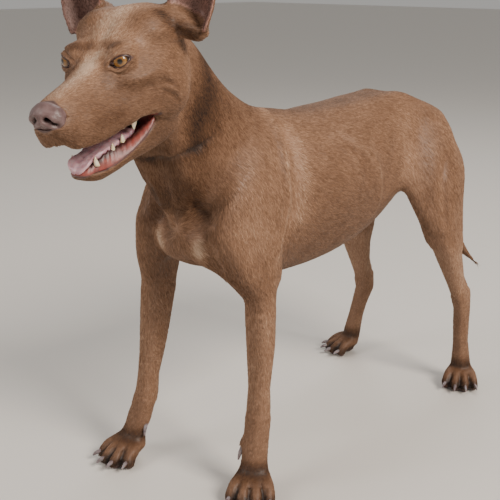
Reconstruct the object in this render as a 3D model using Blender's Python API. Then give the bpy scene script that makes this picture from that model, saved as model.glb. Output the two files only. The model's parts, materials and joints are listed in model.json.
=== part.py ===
"""A short-coated dog, life size, standing still.

Metres, +Z up. The dog faces -Y and its left side is +X. It is laid out round its spine, in the plane x = 0,
with the floor at z = 0, and at the end it is moved so that the origin is under the middle of its box.
The flesh is modelled whole, as rounded clay that is melted together, and is then parted with thin cuts.
"""

import math

import bmesh
import bpy
import numpy as np
from mathutils import Matrix, Vector
from mathutils.bvhtree import BVHTree

# ---------------------------------------------------------------- driving dimensions, in metres and degrees

GAP = 0.0003  # between pieces that touch
MERGE = 0.00001
HEAD_PLACE = (0.0445, -0.3925, 0.5670)  # midway between the eyes
HEAD_YAW = 17.4  # towards the dog's left
HEAD_PITCH = 4.4  # nose down
HEAD_ROLL = -2.3
HEAD_SCALE = 1.02
EYE_RADIUS = 0.0106
LID_SLIT = (0.0190, 0.0110)  # width and height of the opening between the lids
EYE_YAW = 26  # degrees that an eye looks outwards
EYE_PLACE = (0.0292, -0.0080, 0.0005)
CLAW_RADIUS = 0.0030
FLESH_TRIANGLES = 3500
FINENESS = 0.04  # how much less of the head and the feet the thinning takes
FORE_SIZE = 0.97  # of a front foot against the foot that the feet's numbers draw
HIND_SIZE = 0.88

# Joints of each leg, as (x, y, z) with x counted outwards from the spine's plane.
FORE_JOINTS = {
    "left": {
        "shoulder": (0.058, -0.240, 0.352),
        "elbow": (0.061, -0.176, 0.268),
        "wrist": (0.070, -0.188, 0.110),
        "ball": (0.075, -0.202, 0.030),
        "toe_out": 38,
    },
    "right": {
        "shoulder": (0.065, -0.246, 0.350),
        "elbow": (0.100, -0.208, 0.260),
        "wrist": (0.098, -0.238, 0.096),
        "ball": (0.114, -0.252, 0.030),
        "toe_out": -6,
    },
}
HIND_JOINTS = {
    "left": {
        "hip": (0.046, 0.200, 0.420),
        "stifle": (0.078, 0.182, 0.292),
        "hock": (0.082, 0.258, 0.148),
        "ball": (0.076, 0.282, 0.030),
        "toe_out": 34,
    },
    "right": {
        "hip": (0.046, 0.200, 0.420),
        "stifle": (0.076, 0.166, 0.286),
        "hock": (0.098, 0.238, 0.142),
        "ball": (0.138, 0.260, 0.030),
        "toe_out": 26,
    },
}
SIDES = {"left": 1, "right": -1}

COLOURS = {
    "coat": (0.235, 0.145, 0.098),
    "nose": (0.190, 0.115, 0.100),
    "eye": (0.480, 0.250, 0.060),
    "tongue": (0.610, 0.330, 0.340),
    "claw": (0.420, 0.370, 0.370),
}


# ---------------------------------------------------------------- clay

def head_matrix():
    """From the head's own frame (x left, y back, z up, origin between the eyes) to the dog's."""
    turn = Matrix.Rotation(math.radians(HEAD_YAW), 4, "Z")
    turn @= Matrix.Rotation(math.radians(HEAD_PITCH), 4, "X")
    turn @= Matrix.Rotation(math.radians(HEAD_ROLL), 4, "Y")
    return Matrix.Translation(HEAD_PLACE) @ turn @ Matrix.Scale(HEAD_SCALE, 4)


def spline(rows, steps):
    """Points of a Catmull-Rom curve through the rows, with this many steps for each stretch."""
    rows = np.array(rows, float)
    rows = np.vstack([2 * rows[0] - rows[1], rows, 2 * rows[-1] - rows[-2]])
    points = []
    for before, start, end, after in zip(rows, rows[1:], rows[2:], rows[3:]):
        for t in np.arange(steps) / steps:
            bend = 2 * before - 5 * start + 4 * end - after
            twist = 3 * start - before - 3 * end + after
            points.append(start + ((end - before) * t + bend * t**2 + twist * t**3) / 2)
    points.append(rows[-2])
    return np.array(points)


# How far out the rings of a tube's round end lie, and how wide they are, as shares of its radius there.
ROUND_END = ((0.55, 0.83), (0.88, 0.42))


def end_ring(point, outward, out, share, direction):
    """A ring beyond a tube's end: centre, two radii and the tube's direction."""
    x, y, z = point[:3] + outward * min(point[3:]) * out
    return x, y, z, point[3] * share, point[4] * share, Vector(direction)


def add_tube(clay, rows, side=(1, 0, 0), egg=0.0, sides=18, steps=4, ends=ROUND_END):
    """A closed tube with round ends through rows of (x, y, z, radius along side, radius across it).

    egg makes it wider on the side that direction x side points to: the front of a leg that runs down,
    or the underside of a trunk that runs back.
    """
    points = spline(rows, steps)
    along = np.gradient(points[:, :3], axis=0)
    along /= np.linalg.norm(along, axis=1)[:, None]
    stations = [(*point, Vector(direction)) for point, direction in zip(points, along)]
    for out, share in ends:
        stations.insert(0, end_ring(points[0], -along[0], out, share, along[0]))
        stations.append(end_ring(points[-1], along[-1], out, share, along[-1]))
    rings = []
    for x, y, z, wide, deep, direction in stations:
        across = direction.cross(Vector(side)).normalized()
        outward = across.cross(direction).normalized()
        ring = []
        for angle in np.arange(sides) * 2 * math.pi / sides:
            reach = wide * math.cos(angle) * (1 + egg * math.sin(angle))
            spot = Vector((x, y, z)) + outward * reach + across * deep * math.sin(angle)
            ring.append(clay.verts.new(spot))
        rings.append(ring)
    for one, two in zip(rings, rings[1:]):
        for k in range(sides):
            clay.faces.new((one[k - 1], one[k], two[k], two[k - 1]))
    clay.faces.new(reversed(rings[0]))
    clay.faces.new(rings[-1])


def add_blob(clay, centre, radii, pitch=0.0, roll=0.0, yaw=0.0):
    """An egg with the three radii, turned by pitch about X, by roll about Y and by yaw about Z, in degrees."""
    turn = Matrix.Rotation(math.radians(yaw), 4, "Z") @ Matrix.Rotation(math.radians(roll), 4, "Y")
    turn @= Matrix.Rotation(math.radians(pitch), 4, "X")
    place = Matrix.Translation(centre) @ turn @ Matrix.Diagonal((*radii, 1))
    bmesh.ops.create_uvsphere(clay, u_segments=18, v_segments=12, radius=1, matrix=place)


def add_sections(clay, rows, points=4, steps=3):
    """A closed loft back along Y through rows of (y, top, x, z, x, z, x, z, underside), alike on both sides.

    The three (x, z) pairs are the upper, the widest and the lower point of a section's side.
    """
    rings = []
    for y, top, *sides, low in spline(rows, steps):
        side = list(zip(sides[::2], sides[1::2]))
        loop = [(0, top), *side, (0, low), *[(-x, z) for x, z in reversed(side)]]
        outline = spline(loop[-2:] + loop + loop[:3], points)[2 * points:-3 * points]
        rings.append([clay.verts.new((x, y, z)) for x, z in outline])
    for one, two in zip(rings, rings[1:]):
        for k in range(len(one)):
            clay.faces.new((one[k - 1], one[k], two[k], two[k - 1]))
    clay.faces.new(reversed(rings[0]))
    clay.faces.new(rings[-1])


def new_object(name, shape):
    """An object from a bmesh or a mesh, in the scene."""
    mesh = shape
    if isinstance(shape, bmesh.types.BMesh):
        shape.normal_update()
        bmesh.ops.recalc_face_normals(shape, faces=shape.faces[:])
        mesh = bpy.data.meshes.new(name)
        shape.to_mesh(mesh)
        shape.free()
    made = bpy.data.objects.new(name, mesh)
    bpy.context.scene.collection.objects.link(made)
    return made


def apply_modifiers(made):
    """Replaces an object's mesh by what its modifiers make of it."""
    graph = bpy.context.evaluated_depsgraph_get()
    shaped = bpy.data.meshes.new_from_object(made.evaluated_get(graph))
    made.modifiers.clear()
    made.data = shaped


def melt(made, voxel, passes, factor=0.5):
    """Melts overlapping clay into one smooth skin."""
    remesh = made.modifiers.new("melt", "REMESH")
    remesh.mode = "VOXEL"
    remesh.voxel_size = voxel
    smooth = made.modifiers.new("soften", "SMOOTH")
    smooth.factor = factor
    smooth.iterations = passes
    apply_modifiers(made)
    return made


def joined(name, pieces):
    """One object that holds the meshes of all the pieces, which are removed."""
    clay = bmesh.new()
    for piece in pieces:
        clay.from_mesh(piece.data)
        bpy.data.objects.remove(piece)
    return new_object(name, clay)


def cleaned(made):
    """Merges points that a Boolean left closer than MERGE, and splits its many-sided faces."""
    clay = bmesh.new()
    clay.from_mesh(made.data)
    bmesh.ops.remove_doubles(clay, verts=clay.verts[:], dist=MERGE)
    bmesh.ops.dissolve_degenerate(clay, edges=clay.edges[:], dist=MERGE)
    bmesh.ops.triangulate(clay, faces=clay.faces[:])
    clay.to_mesh(made.data)
    clay.free()


def boolean(made, other, operation, keep=False):
    """Unites or cuts an object with another, which is then removed unless it is to be kept."""
    change = made.modifiers.new("boolean", "BOOLEAN")
    change.operation = operation
    change.object = other
    apply_modifiers(made)
    cleaned(made)
    if not keep:
        bpy.data.objects.remove(other)


def outwards(point, sign):
    """A joint's place on the left side (sign 1) or the right side (sign -1)."""
    return Vector((point[0] * sign, point[1], point[2]))


def row(point, wide, deep):
    return (*point, wide, deep)


# ---------------------------------------------------------------- trunk, neck and tail

# (y, top, underside, half width) of the trunk from the point of the chest to the rump.
TRUNK = (
    (-0.245, 0.392, 0.326, 0.014),
    (-0.236, 0.425, 0.311, 0.044),
    (-0.205, 0.470, 0.288, 0.062),
    (-0.160, 0.489, 0.273, 0.071),
    (-0.112, 0.488, 0.262, 0.077),
    (-0.060, 0.479, 0.261, 0.081),
    (-0.010, 0.480, 0.266, 0.083),
    (0.040, 0.485, 0.278, 0.080),
    (0.085, 0.489, 0.298, 0.071),
    (0.125, 0.490, 0.330, 0.060),
    (0.165, 0.486, 0.352, 0.054),
    (0.205, 0.473, 0.362, 0.050),
    (0.236, 0.457, 0.378, 0.036),
    (0.251, 0.446, 0.395, 0.018),
)
# (x, y, z, half width, half depth) of the neck from the shoulders to the skull.
NECK = (
    (0.000, -0.168, 0.400, 0.056, 0.096),
    (0.000, -0.206, 0.439, 0.058, 0.081),
    (0.004, -0.243, 0.477, 0.055, 0.070),
    (0.009, -0.274, 0.518, 0.051, 0.061),
    (0.016, -0.300, 0.552, 0.048, 0.056),
)
TAIL = (
    (0.000, 0.252, 0.440, 0.020, 0.018),
    (-0.001, 0.277, 0.424, 0.016, 0.015),
    (-0.004, 0.293, 0.390, 0.0125, 0.0125),
    (-0.004, 0.293, 0.340, 0.0105, 0.0105),
    (0.006, 0.294, 0.288, 0.0090, 0.0090),
    (0.024, 0.309, 0.240, 0.0075, 0.0075),
    (0.042, 0.334, 0.203, 0.0055, 0.0055),
    (0.056, 0.358, 0.178, 0.0020, 0.0020),
)


def add_trunk(clay):
    rows = [(0, y, (top + low) / 2, wide, (top - low) / 2) for y, top, low, wide in TRUNK]
    add_tube(clay, rows, egg=-0.10, sides=28)
    add_tube(clay, NECK, side=(1, 0, 0), egg=0.0, sides=24)
    for sign in SIDES.values():
        # Long muscles of the loin, the points of the hips, the breast and the keel beside the breastbone.
        add_tube(clay, [(0.020 * sign, y, z, 0.024, 0.018) for y, z in
                        ((-0.04, 0.460), (0.04, 0.466), (0.12, 0.471), (0.17, 0.465))])
        add_blob(clay, (0.043 * sign, 0.172, 0.460), (0.012, 0.030, 0.014), pitch=-12)
        add_blob(clay, (0.024 * sign, -0.232, 0.334), (0.030, 0.028, 0.032), pitch=-14)
        add_tube(clay, [row((0.034 * sign, -0.236, 0.332), 0.020, 0.026),
                        row((0.034 * sign, -0.200, 0.305), 0.024, 0.022),
                        row((0.034 * sign, -0.150, 0.294), 0.026, 0.021)])
        # The neck's strap muscle, from behind the jaw to the breastbone.
        add_tube(clay, [row((0.020 + 0.030 * sign, -0.318, 0.520), 0.013, 0.022),
                        row((0.008 + 0.034 * sign, -0.285, 0.460), 0.015, 0.026),
                        row((0.020 * sign, -0.258, 0.385), 0.015, 0.018)])
    add_blob(clay, (0.0, -0.254, 0.348), (0.016, 0.013, 0.022))


def add_tail(clay):
    add_tube(clay, TAIL, sides=14, steps=5)


# ---------------------------------------------------------------- legs

def foot_frame(joints, sign):
    """The ball's place on the floor, and the directions that the foot points in and lies across."""
    ball = outwards(joints["ball"], sign)
    turn = math.radians(joints["toe_out"]) * sign
    forward = Vector((math.sin(turn), -math.cos(turn), 0))
    return Vector((ball.x, ball.y, 0)), forward, Vector((0, 0, 1)).cross(forward)


def add_fore_leg(clay, joints, sign):
    """Shoulder blade, upper arm, forearm and pastern, without the toes."""
    shoulder = outwards(joints["shoulder"], sign)
    elbow = outwards(joints["elbow"], sign)
    wrist = outwards(joints["wrist"], sign)
    ball = outwards(joints["ball"], sign)
    ground, forward, across = foot_frame(joints, sign)
    blade_top = Vector((0.028 * sign, -0.128, 0.474))
    add_tube(clay, [row(blade_top, 0.012, 0.030),
                    row(blade_top.lerp(shoulder, 0.35) + Vector((0.020 * sign, -0.010, 0)), 0.016, 0.036),
                    row(blade_top.lerp(shoulder, 0.70) + Vector((0.014 * sign, -0.002, 0)), 0.020, 0.038),
                    row(shoulder + Vector((0.002 * sign, 0.010, 0)), 0.021, 0.032)])
    # Upper arm in front, and the big muscle behind it that ends on the point of the elbow.
    add_tube(clay, [row(shoulder + Vector((0, 0.000, 0.006)), 0.022, 0.024),
                    row(shoulder.lerp(elbow, 0.5), 0.024, 0.030),
                    row(elbow + Vector((0, -0.002, 0.004)), 0.021, 0.026)])
    rear = elbow + Vector((0, 0.028, 0.020))
    add_tube(clay, [row(blade_top.lerp(rear, 0.42) + Vector((0.026 * sign, -0.034, 0)), 0.018, 0.025),
                    row(blade_top.lerp(rear, 0.75) + Vector((0.009 * sign, -0.030, 0)), 0.022, 0.026),
                    row(rear + Vector((0, -0.010, 0)), 0.016, 0.020)])
    middle = shoulder.lerp(elbow, 0.45) + Vector((0.009 * sign, 0.026, 0.022))
    add_blob(clay, middle, (0.018, 0.034, 0.062))
    add_tube(clay, [row(elbow + Vector((0, 0.000, 0.024)), 0.0215, 0.0300),
                    row(elbow + Vector((0, 0.000, -0.004)), 0.0210, 0.0300),
                    row(elbow.lerp(wrist, 0.22) + Vector((0, 0.001, 0)), 0.0205, 0.0275),
                    row(elbow.lerp(wrist, 0.50) + Vector((0, 0.002, 0)), 0.0190, 0.0225),
                    row(elbow.lerp(wrist, 0.80), 0.0163, 0.0170),
                    row(wrist, 0.0180, 0.0175),
                    row(wrist.lerp(ball, 0.40), 0.0182, 0.0150),
                    row(wrist.lerp(ball, 0.80), 0.0200, 0.0150),
                    row(ball + Vector((0, 0, -0.006)), 0.0210, 0.0150)], side=across, steps=5)
    add_blob(clay, elbow + Vector((0.001 * sign, 0.029, 0.012)), (0.011, 0.010, 0.013))
    add_blob(clay, wrist - forward * 0.0175 + Vector((0, 0, -0.004)), (0.008, 0.0075, 0.008))


def add_hind_leg(clay, joints, sign):
    """Thigh, lower thigh, hock and rear pastern, without the toes."""
    hip = outwards(joints["hip"], sign)
    stifle = outwards(joints["stifle"], sign)
    hock = outwards(joints["hock"], sign)
    ball = outwards(joints["ball"], sign)
    ground, forward, across = foot_frame(joints, sign)
    point = hock + Vector((0, 0.016, 0.010))  # of the hock
    seat = Vector((0.034 * sign, 0.243, 0.408))
    add_tube(clay, [row(hip + Vector((-0.008 * sign, -0.006, 0.026)), 0.024, 0.038),
                    row(hip + Vector((0.000 * sign, -0.004, -0.010)), 0.033, 0.054),
                    row(hip.lerp(stifle, 0.50) + Vector((0.004 * sign, 0.000, 0)), 0.032, 0.054),
                    row(stifle + Vector((-0.002 * sign, 0.006, 0.012)), 0.026, 0.038),
                    row(stifle + Vector((0, 0.010, -0.022)), 0.021, 0.030)], steps=5)
    # The broad front edge of the thigh, down to the kneecap.
    add_tube(clay, [row(hip + Vector((0.004 * sign, -0.070, -0.006)), 0.012, 0.024),
                    row(hip.lerp(stifle, 0.45) + Vector((0.002 * sign, -0.056, 0)), 0.014, 0.022),
                    row(stifle + Vector((0, -0.020, 0.006)), 0.015, 0.016)])
    # The back of the thigh, from the seat to the calf.
    add_tube(clay, [row(seat, 0.022, 0.022),
                    row(seat.lerp(stifle, 0.33) + Vector((0.010 * sign, 0.014, -0.004)), 0.025, 0.028),
                    row(seat.lerp(stifle, 0.66) + Vector((0.010 * sign, 0.020, -0.014)), 0.021, 0.026),
                    row(stifle.lerp(point, 0.36) + Vector((0, 0.018, 0)), 0.015, 0.018)])
    add_tube(clay, [row(stifle + Vector((0, 0.004, 0.012)), 0.022, 0.030),
                    row(stifle.lerp(hock, 0.22) + Vector((0, 0.006, 0)), 0.0215, 0.0290),
                    row(stifle.lerp(hock, 0.50) + Vector((0, 0.004, 0)), 0.0175, 0.0215),
                    row(stifle.lerp(hock, 0.82), 0.0130, 0.0145),
                    row(hock + Vector((0, 0.004, -0.004)), 0.0145, 0.0175),
                    row(hock.lerp(ball, 0.25) + Vector((0, 0.002, 0)), 0.0135, 0.0155),
                    row(hock.lerp(ball, 0.60), 0.0135, 0.0140),
                    row(hock.lerp(ball, 0.88), 0.0165, 0.0145),
                    row(ball + Vector((0, 0, -0.006)), 0.0180, 0.0145)], side=across, steps=5)
    # The tendon behind the lower thigh, and the point of the hock.
    add_tube(clay, [row(stifle.lerp(point, 0.45) + Vector((0, 0.014, 0)), 0.011, 0.014),
                    row(stifle.lerp(point, 0.75) + Vector((0, 0.006, 0)), 0.0070, 0.0095),
                    row(point, 0.0095, 0.0095),
                    row(point.lerp(ball, 0.25) + Vector((0, -0.003, 0)), 0.0085, 0.0085)])


# ---------------------------------------------------------------- feet

# How far each toe reaches, where it lies across the foot, and how much it splays.
TOES = ((-1.5, 0.80, -15), (-0.5, 1.0, -4), (0.5, 1.0, 5), (1.5, 0.80, 17))


def toes_of(joints, sign, size):
    """Each toe's knuckle, tip and direction."""
    ground, forward, across = foot_frame(joints, sign)
    made = []
    for place, reach, splay in TOES:
        aim = Matrix.Rotation(math.radians(-splay), 3, "Z") @ forward
        root = ground - across * place * 0.0105 * size
        knuckle = root + aim * 0.024 * size * reach + Vector((0, 0, 0.0235 * size))
        tip = root + aim * 0.046 * size * reach + Vector((0, 0, 0.0105 * size))
        made.append((root + Vector((0, 0, 0.026 * size)), knuckle, tip, aim))
    return made


def add_foot(clay, joints, sign, size):
    """Four arched toes, their pads and the heel pad."""
    ground, forward, across = foot_frame(joints, sign)
    for root, knuckle, tip, aim in toes_of(joints, sign, size):
        side = tuple(Vector((0, 0, 1)).cross(aim))
        add_tube(clay, [row(root, 0.0085 * size, 0.010 * size),
                        row(knuckle, 0.0092 * size, 0.0098 * size),
                        row(tip, 0.0092 * size, 0.0088 * size),
                        row(tip + aim * 0.004 * size, 0.0060 * size, 0.0060 * size)], side=side, sides=14)
        add_blob(clay, tip - aim * 0.004 * size + Vector((0, 0, -0.0055 * size)),
                 (0.0082 * size, 0.0100 * size, 0.0065 * size), yaw=math.degrees(math.atan2(-aim.x, aim.y)))
    add_blob(clay, ground + forward * 0.008 * size + Vector((0, 0, 0.0075 * size)),
             (0.0175 * size, 0.0130 * size, 0.0090 * size),
             yaw=math.degrees(math.atan2(-forward.x, forward.y)))
    add_blob(clay, ground + forward * 0.010 * size + Vector((0, 0, 0.020 * size)),
             (0.0215 * size, 0.0200 * size, 0.0120 * size),
             yaw=math.degrees(math.atan2(-forward.x, forward.y)))


def dewclaw_place(joints, sign):
    """Where the small inner toe of a front foot sits, and where it points."""
    wrist = outwards(joints["wrist"], sign)
    ball = outwards(joints["ball"], sign)
    ground, forward, across = foot_frame(joints, sign)
    inner = across if across.x * sign < 0 else -across
    middle = wrist.lerp(ball, 0.52)
    aim = (ball - wrist).normalized() * 0.85 + inner * 0.25 + forward * 0.15
    return middle + inner * 0.0155, aim.normalized()


def add_dewclaw_toe(clay, joints, sign):
    place, aim = dewclaw_place(joints, sign)
    ground, forward, across = foot_frame(joints, sign)
    add_tube(clay, [row(place - aim * 0.012, 0.0045, 0.0060), row(place, 0.0060, 0.0070),
                    row(place + aim * 0.009, 0.0050, 0.0055)], side=forward, sides=12)


# ---------------------------------------------------------------- head

# Sections of the head in its own frame: y, top, upper (x, z), widest (x, z), lower (x, z), underside.
SKULL = (
    (-0.1000, -0.0360, 0.0080, -0.0370, 0.0120, -0.0450, 0.0090, -0.0520, -0.0530),
    (-0.0920, -0.0265, 0.0125, -0.0290, 0.0185, -0.0460, 0.0145, -0.0605, -0.0600),
    (-0.0780, -0.0215, 0.0155, -0.0245, 0.0240, -0.0470, 0.0215, -0.0725, -0.0635),
    (-0.0600, -0.0155, 0.0165, -0.0200, 0.0275, -0.0450, 0.0265, -0.0740, -0.0560),
    (-0.0400, -0.0095, 0.0180, -0.0145, 0.0300, -0.0420, 0.0300, -0.0715, -0.0500),
    (-0.0240, -0.0020, 0.0200, -0.0070, 0.0325, -0.0370, 0.0325, -0.0675, -0.0480),
    (-0.0080, 0.0080, 0.0260, 0.0060, 0.0380, -0.0270, 0.0370, -0.0630, -0.0480),
    (0.0100, 0.0230, 0.0330, 0.0190, 0.0460, -0.0200, 0.0425, -0.0585, -0.0500),
    (0.0300, 0.0390, 0.0370, 0.0330, 0.0530, -0.0140, 0.0480, -0.0580, -0.0600),
    (0.0550, 0.0480, 0.0380, 0.0420, 0.0560, -0.0100, 0.0500, -0.0600, -0.0680),
    (0.0800, 0.0450, 0.0340, 0.0380, 0.0520, -0.0080, 0.0440, -0.0560, -0.0680),
    (0.0980, 0.0330, 0.0260, 0.0260, 0.0410, -0.0100, 0.0330, -0.0480, -0.0580),
)
# Sections of the shut lower jaw: y, floor of the mouth, gum (x, z), lip (x, z), lower (x, z), underside.
JAW = (
    (-0.0725, -0.0740, 0.0070, -0.0710, 0.0105, -0.0760, 0.0070, -0.0800, -0.0810),
    (-0.0640, -0.0750, 0.0140, -0.0690, 0.0180, -0.0760, 0.0130, -0.0840, -0.0850),
    (-0.0430, -0.0760, 0.0205, -0.0680, 0.0240, -0.0765, 0.0170, -0.0865, -0.0880),
    (-0.0150, -0.0770, 0.0265, -0.0670, 0.0305, -0.0760, 0.0210, -0.0900, -0.0930),
    (0.0120, -0.0740, 0.0340, -0.0630, 0.0370, -0.0730, 0.0270, -0.0920, -0.0940),
    (0.0360, -0.0660, 0.0410, -0.0520, 0.0430, -0.0680, 0.0320, -0.0920, -0.0940),
    (0.0600, -0.0550, 0.0410, -0.0460, 0.0440, -0.0680, 0.0330, -0.0880, -0.0900),
)
EAR_FLAT = (0.064, 0.076, 0.031)  # on the side of the skull
EAR_TILT = 40  # degrees outwards
JAW_HINGE = (0.0, 0.050, -0.034)
JAW_OPEN = 13.5  # degrees from shut


def add_upper_head(clay):
    """Skull, muzzle, cheeks and upper lips, in the head's frame."""
    add_sections(clay, SKULL)
    for sign in SIDES.values():
        # Brow, cheekbone, the chewing muscle of the cheek, the one of the temple, and the ear's root.
        add_blob(clay, (0.0270 * sign, 0.0035, 0.0110), (0.0150, 0.0125, 0.0080), yaw=-24 * sign)
        add_blob(clay, (EYE_PLACE[0] * sign, *EYE_PLACE[1:]), (0.0148, 0.0128, 0.0132), yaw=EYE_YAW * sign)
        add_tube(clay, [(0.0300 * sign, -0.012, -0.019, 0.0070, 0.0070),
                        (0.0400 * sign, 0.006, -0.018, 0.0090, 0.0095),
                        (0.0470 * sign, 0.028, -0.012, 0.0100, 0.0120)])
        add_blob(clay, (0.0430 * sign, 0.050, -0.034), (0.0185, 0.034, 0.034))
        add_blob(clay, (0.0300 * sign, 0.054, 0.021), (0.026, 0.040, 0.025))
        add_blob(clay, (0.0575 * sign, 0.0750, 0.0285), (0.0300, 0.0195, 0.0155), roll=EAR_TILT * sign)


def add_jaw(clay):
    """Lower jaw with its lips and the floor of the mouth, shut, in the head's frame."""
    add_sections(clay, JAW)


def jaw_matrix():
    """Opens the jaw about its hinge, in the head's frame."""
    hinge = Matrix.Translation(JAW_HINGE)
    return hinge @ Matrix.Rotation(math.radians(JAW_OPEN), 4, "X") @ hinge.inverted()


# Rows of an ear from its root up: z, then (x, y) of its inner edge, of its back and of its outer edge.
EAR = (
    (0.000, 0.0420, 0.0640, 0.0560, 0.0850, 0.0700, 0.0660),
    (0.018, 0.0440, 0.0610, 0.0640, 0.0905, 0.0850, 0.0620),
    (0.038, 0.0390, 0.0600, 0.0665, 0.0910, 0.0940, 0.0650),
    (0.060, 0.0385, 0.0620, 0.0700, 0.0885, 0.0985, 0.0700),
    (0.082, 0.0450, 0.0650, 0.0745, 0.0855, 0.0985, 0.0740),
    (0.102, 0.0575, 0.0690, 0.0795, 0.0825, 0.0960, 0.0760),
    (0.118, 0.0720, 0.0735, 0.0840, 0.0805, 0.0925, 0.0770),
    (0.126, 0.0830, 0.0765, 0.0865, 0.0795, 0.0895, 0.0775),
)
EAR_THICKNESS = 0.0042


def ear_space(sign, lift):
    """A box over the flat that the ear stands on, on the side of the skull, this far off the flat."""
    width, length, height = 0.120, 0.080, 0.150
    clay = bmesh.new()
    bmesh.ops.create_cube(clay, size=1, matrix=Matrix.Diagonal((width, length, height, 1)))
    clay.transform(Matrix.Translation((0, 0, height / 2 + lift)))
    clay.transform(Matrix.Translation(EAR_FLAT) @ Matrix.Rotation(math.radians(EAR_TILT), 4, "Y"))
    if sign < 0:
        clay.transform(Matrix.Diagonal((-1, 1, 1, 1)))
    clay.transform(head_matrix())
    return new_object("ear_space", clay)


def ear_leaf(sign):
    """One pricked ear: a cupped leaf with thickness, open forwards, in the head's frame."""
    clay = bmesh.new()
    grid = []
    for z, *edges in EAR:
        inner, back, outer = (Vector((x, y, z)) for x, y in zip(edges[::2], edges[1::2]))
        bulge = (back - inner.lerp(outer, 0.5)) * 0.26
        loop = [inner, inner.lerp(back, 0.5) + bulge, back, back.lerp(outer, 0.5) + bulge, outer]
        grid.append([clay.verts.new((p[0] * sign, p[1], p[2])) for p in spline(loop, 2)])
    for one, two in zip(grid, grid[1:]):
        for i in range(len(one) - 1):
            clay.faces.new((one[i], one[i + 1], two[i + 1], two[i]))
    ear = new_object("ear", clay)
    thick = ear.modifiers.new("thickness", "SOLIDIFY")
    thick.thickness = EAR_THICKNESS
    thick.offset = 0
    apply_modifiers(ear)
    ear.data.transform(head_matrix())
    return ear


# ---------------------------------------------------------------- small pieces of the head

def eye(sign, grown=0.0):
    """An eyeball; grown is for its socket."""
    clay = bmesh.new()
    place = Matrix.Translation((EYE_PLACE[0] * sign, *EYE_PLACE[1:]))
    bmesh.ops.create_icosphere(clay, subdivisions=2, radius=EYE_RADIUS / HEAD_SCALE + grown, matrix=place)
    clay.transform(head_matrix())
    return new_object("eye", clay)


def eye_socket(sign):
    """A cutter for the room round an eyeball and the slit between its lids."""
    look = Matrix.Translation((EYE_PLACE[0] * sign, *EYE_PLACE[1:]))
    look @= Matrix.Rotation(math.radians(EYE_YAW * sign), 4, "Z")
    look @= Matrix.Translation((0, -0.0100, 0)) @ Matrix.Diagonal((LID_SLIT[0] / 2, 0.0200, LID_SLIT[1] / 2, 1))
    look @= Matrix.Rotation(math.radians(90), 4, "X")
    clay = bmesh.new()
    bmesh.ops.create_cone(clay, segments=12, radius1=1, radius2=1, depth=1, cap_ends=True, matrix=look)
    clay.transform(head_matrix())
    socket = eye(sign, GAP)
    boolean(socket, new_object("slit", clay), "UNION")
    return socket


def nose():
    """The leathery pad on the end of the muzzle, with its two wings."""
    clay = bmesh.new()
    add_blob(clay, (0, -0.0930, -0.0375), (0.0145, 0.0120, 0.0125), pitch=14)
    for sign in SIDES.values():
        add_blob(clay, (0.0085 * sign, -0.0910, -0.0395), (0.0095, 0.0115, 0.0110))
    made = melt(new_object("nose", clay), 0.0012, 2)
    thinned(made, 200)
    made.data.transform(head_matrix())
    return made


def swollen(made, by):
    """A copy of a piece with its whole skin moved outwards, to cut its pocket with."""
    copy = new_object("pocket", made.data.copy())
    swell = copy.modifiers.new("swell", "DISPLACE")
    swell.strength = by
    swell.mid_level = 0
    apply_modifiers(copy)
    return copy


# The tongue lies on the floor of the open mouth and over the front teeth: y, z, half width, half depth.
TONGUE = (
    (0.0160, -0.0775, 0.0195, 0.0060),
    (-0.0060, -0.0850, 0.0185, 0.0080),
    (-0.0260, -0.0900, 0.0155, 0.0080),
    (-0.0440, -0.0922, 0.0115, 0.0070),
    (-0.0530, -0.0908, 0.0118, 0.0050),
    (-0.0575, -0.0920, 0.0110, 0.0042),
    (-0.0610, -0.0950, 0.0085, 0.0035),
)


def tongue():
    clay = bmesh.new()
    rows = [(0.0, y, z, wide, deep) for y, z, wide, deep in TONGUE]
    add_tube(clay, rows, sides=10, steps=1)
    clay.transform(head_matrix())
    return new_object("tongue", clay)


# Teeth as (x, y, z of the root, height, half length, half width, lean): upper ones point down.
UPPER_TEETH = (
    (0.0165, -0.0700, -0.0540, 0.0190, 0.0040, 0.0030, -0.12),
    (0.0205, -0.0440, -0.0500, 0.0210, 0.0042, 0.0022, 0.0),
    (0.0232, -0.0320, -0.0480, 0.0230, 0.0055, 0.0025, 0.0),
    (0.0262, -0.0160, -0.0460, 0.0260, 0.0085, 0.0030, 0.0),
)
# Lower ones stand up from the shut jaw.
LOWER_TEETH = (
    (0.0152, -0.0560, -0.0800, 0.0230, 0.0036, 0.0028, -0.10),
    (0.0200, -0.0360, -0.0760, 0.0140, 0.0042, 0.0022, 0.0),
    (0.0228, -0.0220, -0.0760, 0.0150, 0.0050, 0.0024, 0.0),
    (0.0262, -0.0040, -0.0760, 0.0170, 0.0085, 0.0028, 0.0),
)


def teeth(rows, pointing, matrix):
    """A row of blunt cones on both sides, apart from each other."""
    clay = bmesh.new()
    for x, y, z, height, length, width, lean in rows:
        for sign in SIDES.values():
            place = Matrix.Translation((x * sign, y + lean * height / 2, z + pointing * height / 2))
            place @= Matrix.Rotation(math.atan(lean) * pointing * -1, 4, "X")
            place @= Matrix.Diagonal((width, length, pointing * height, 1))
            bmesh.ops.create_cone(clay, segments=5, radius1=1, radius2=0.32, depth=1, cap_ends=True, matrix=place)
    clay.transform(matrix)
    return new_object("teeth", clay)


# ---------------------------------------------------------------- claws

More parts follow.
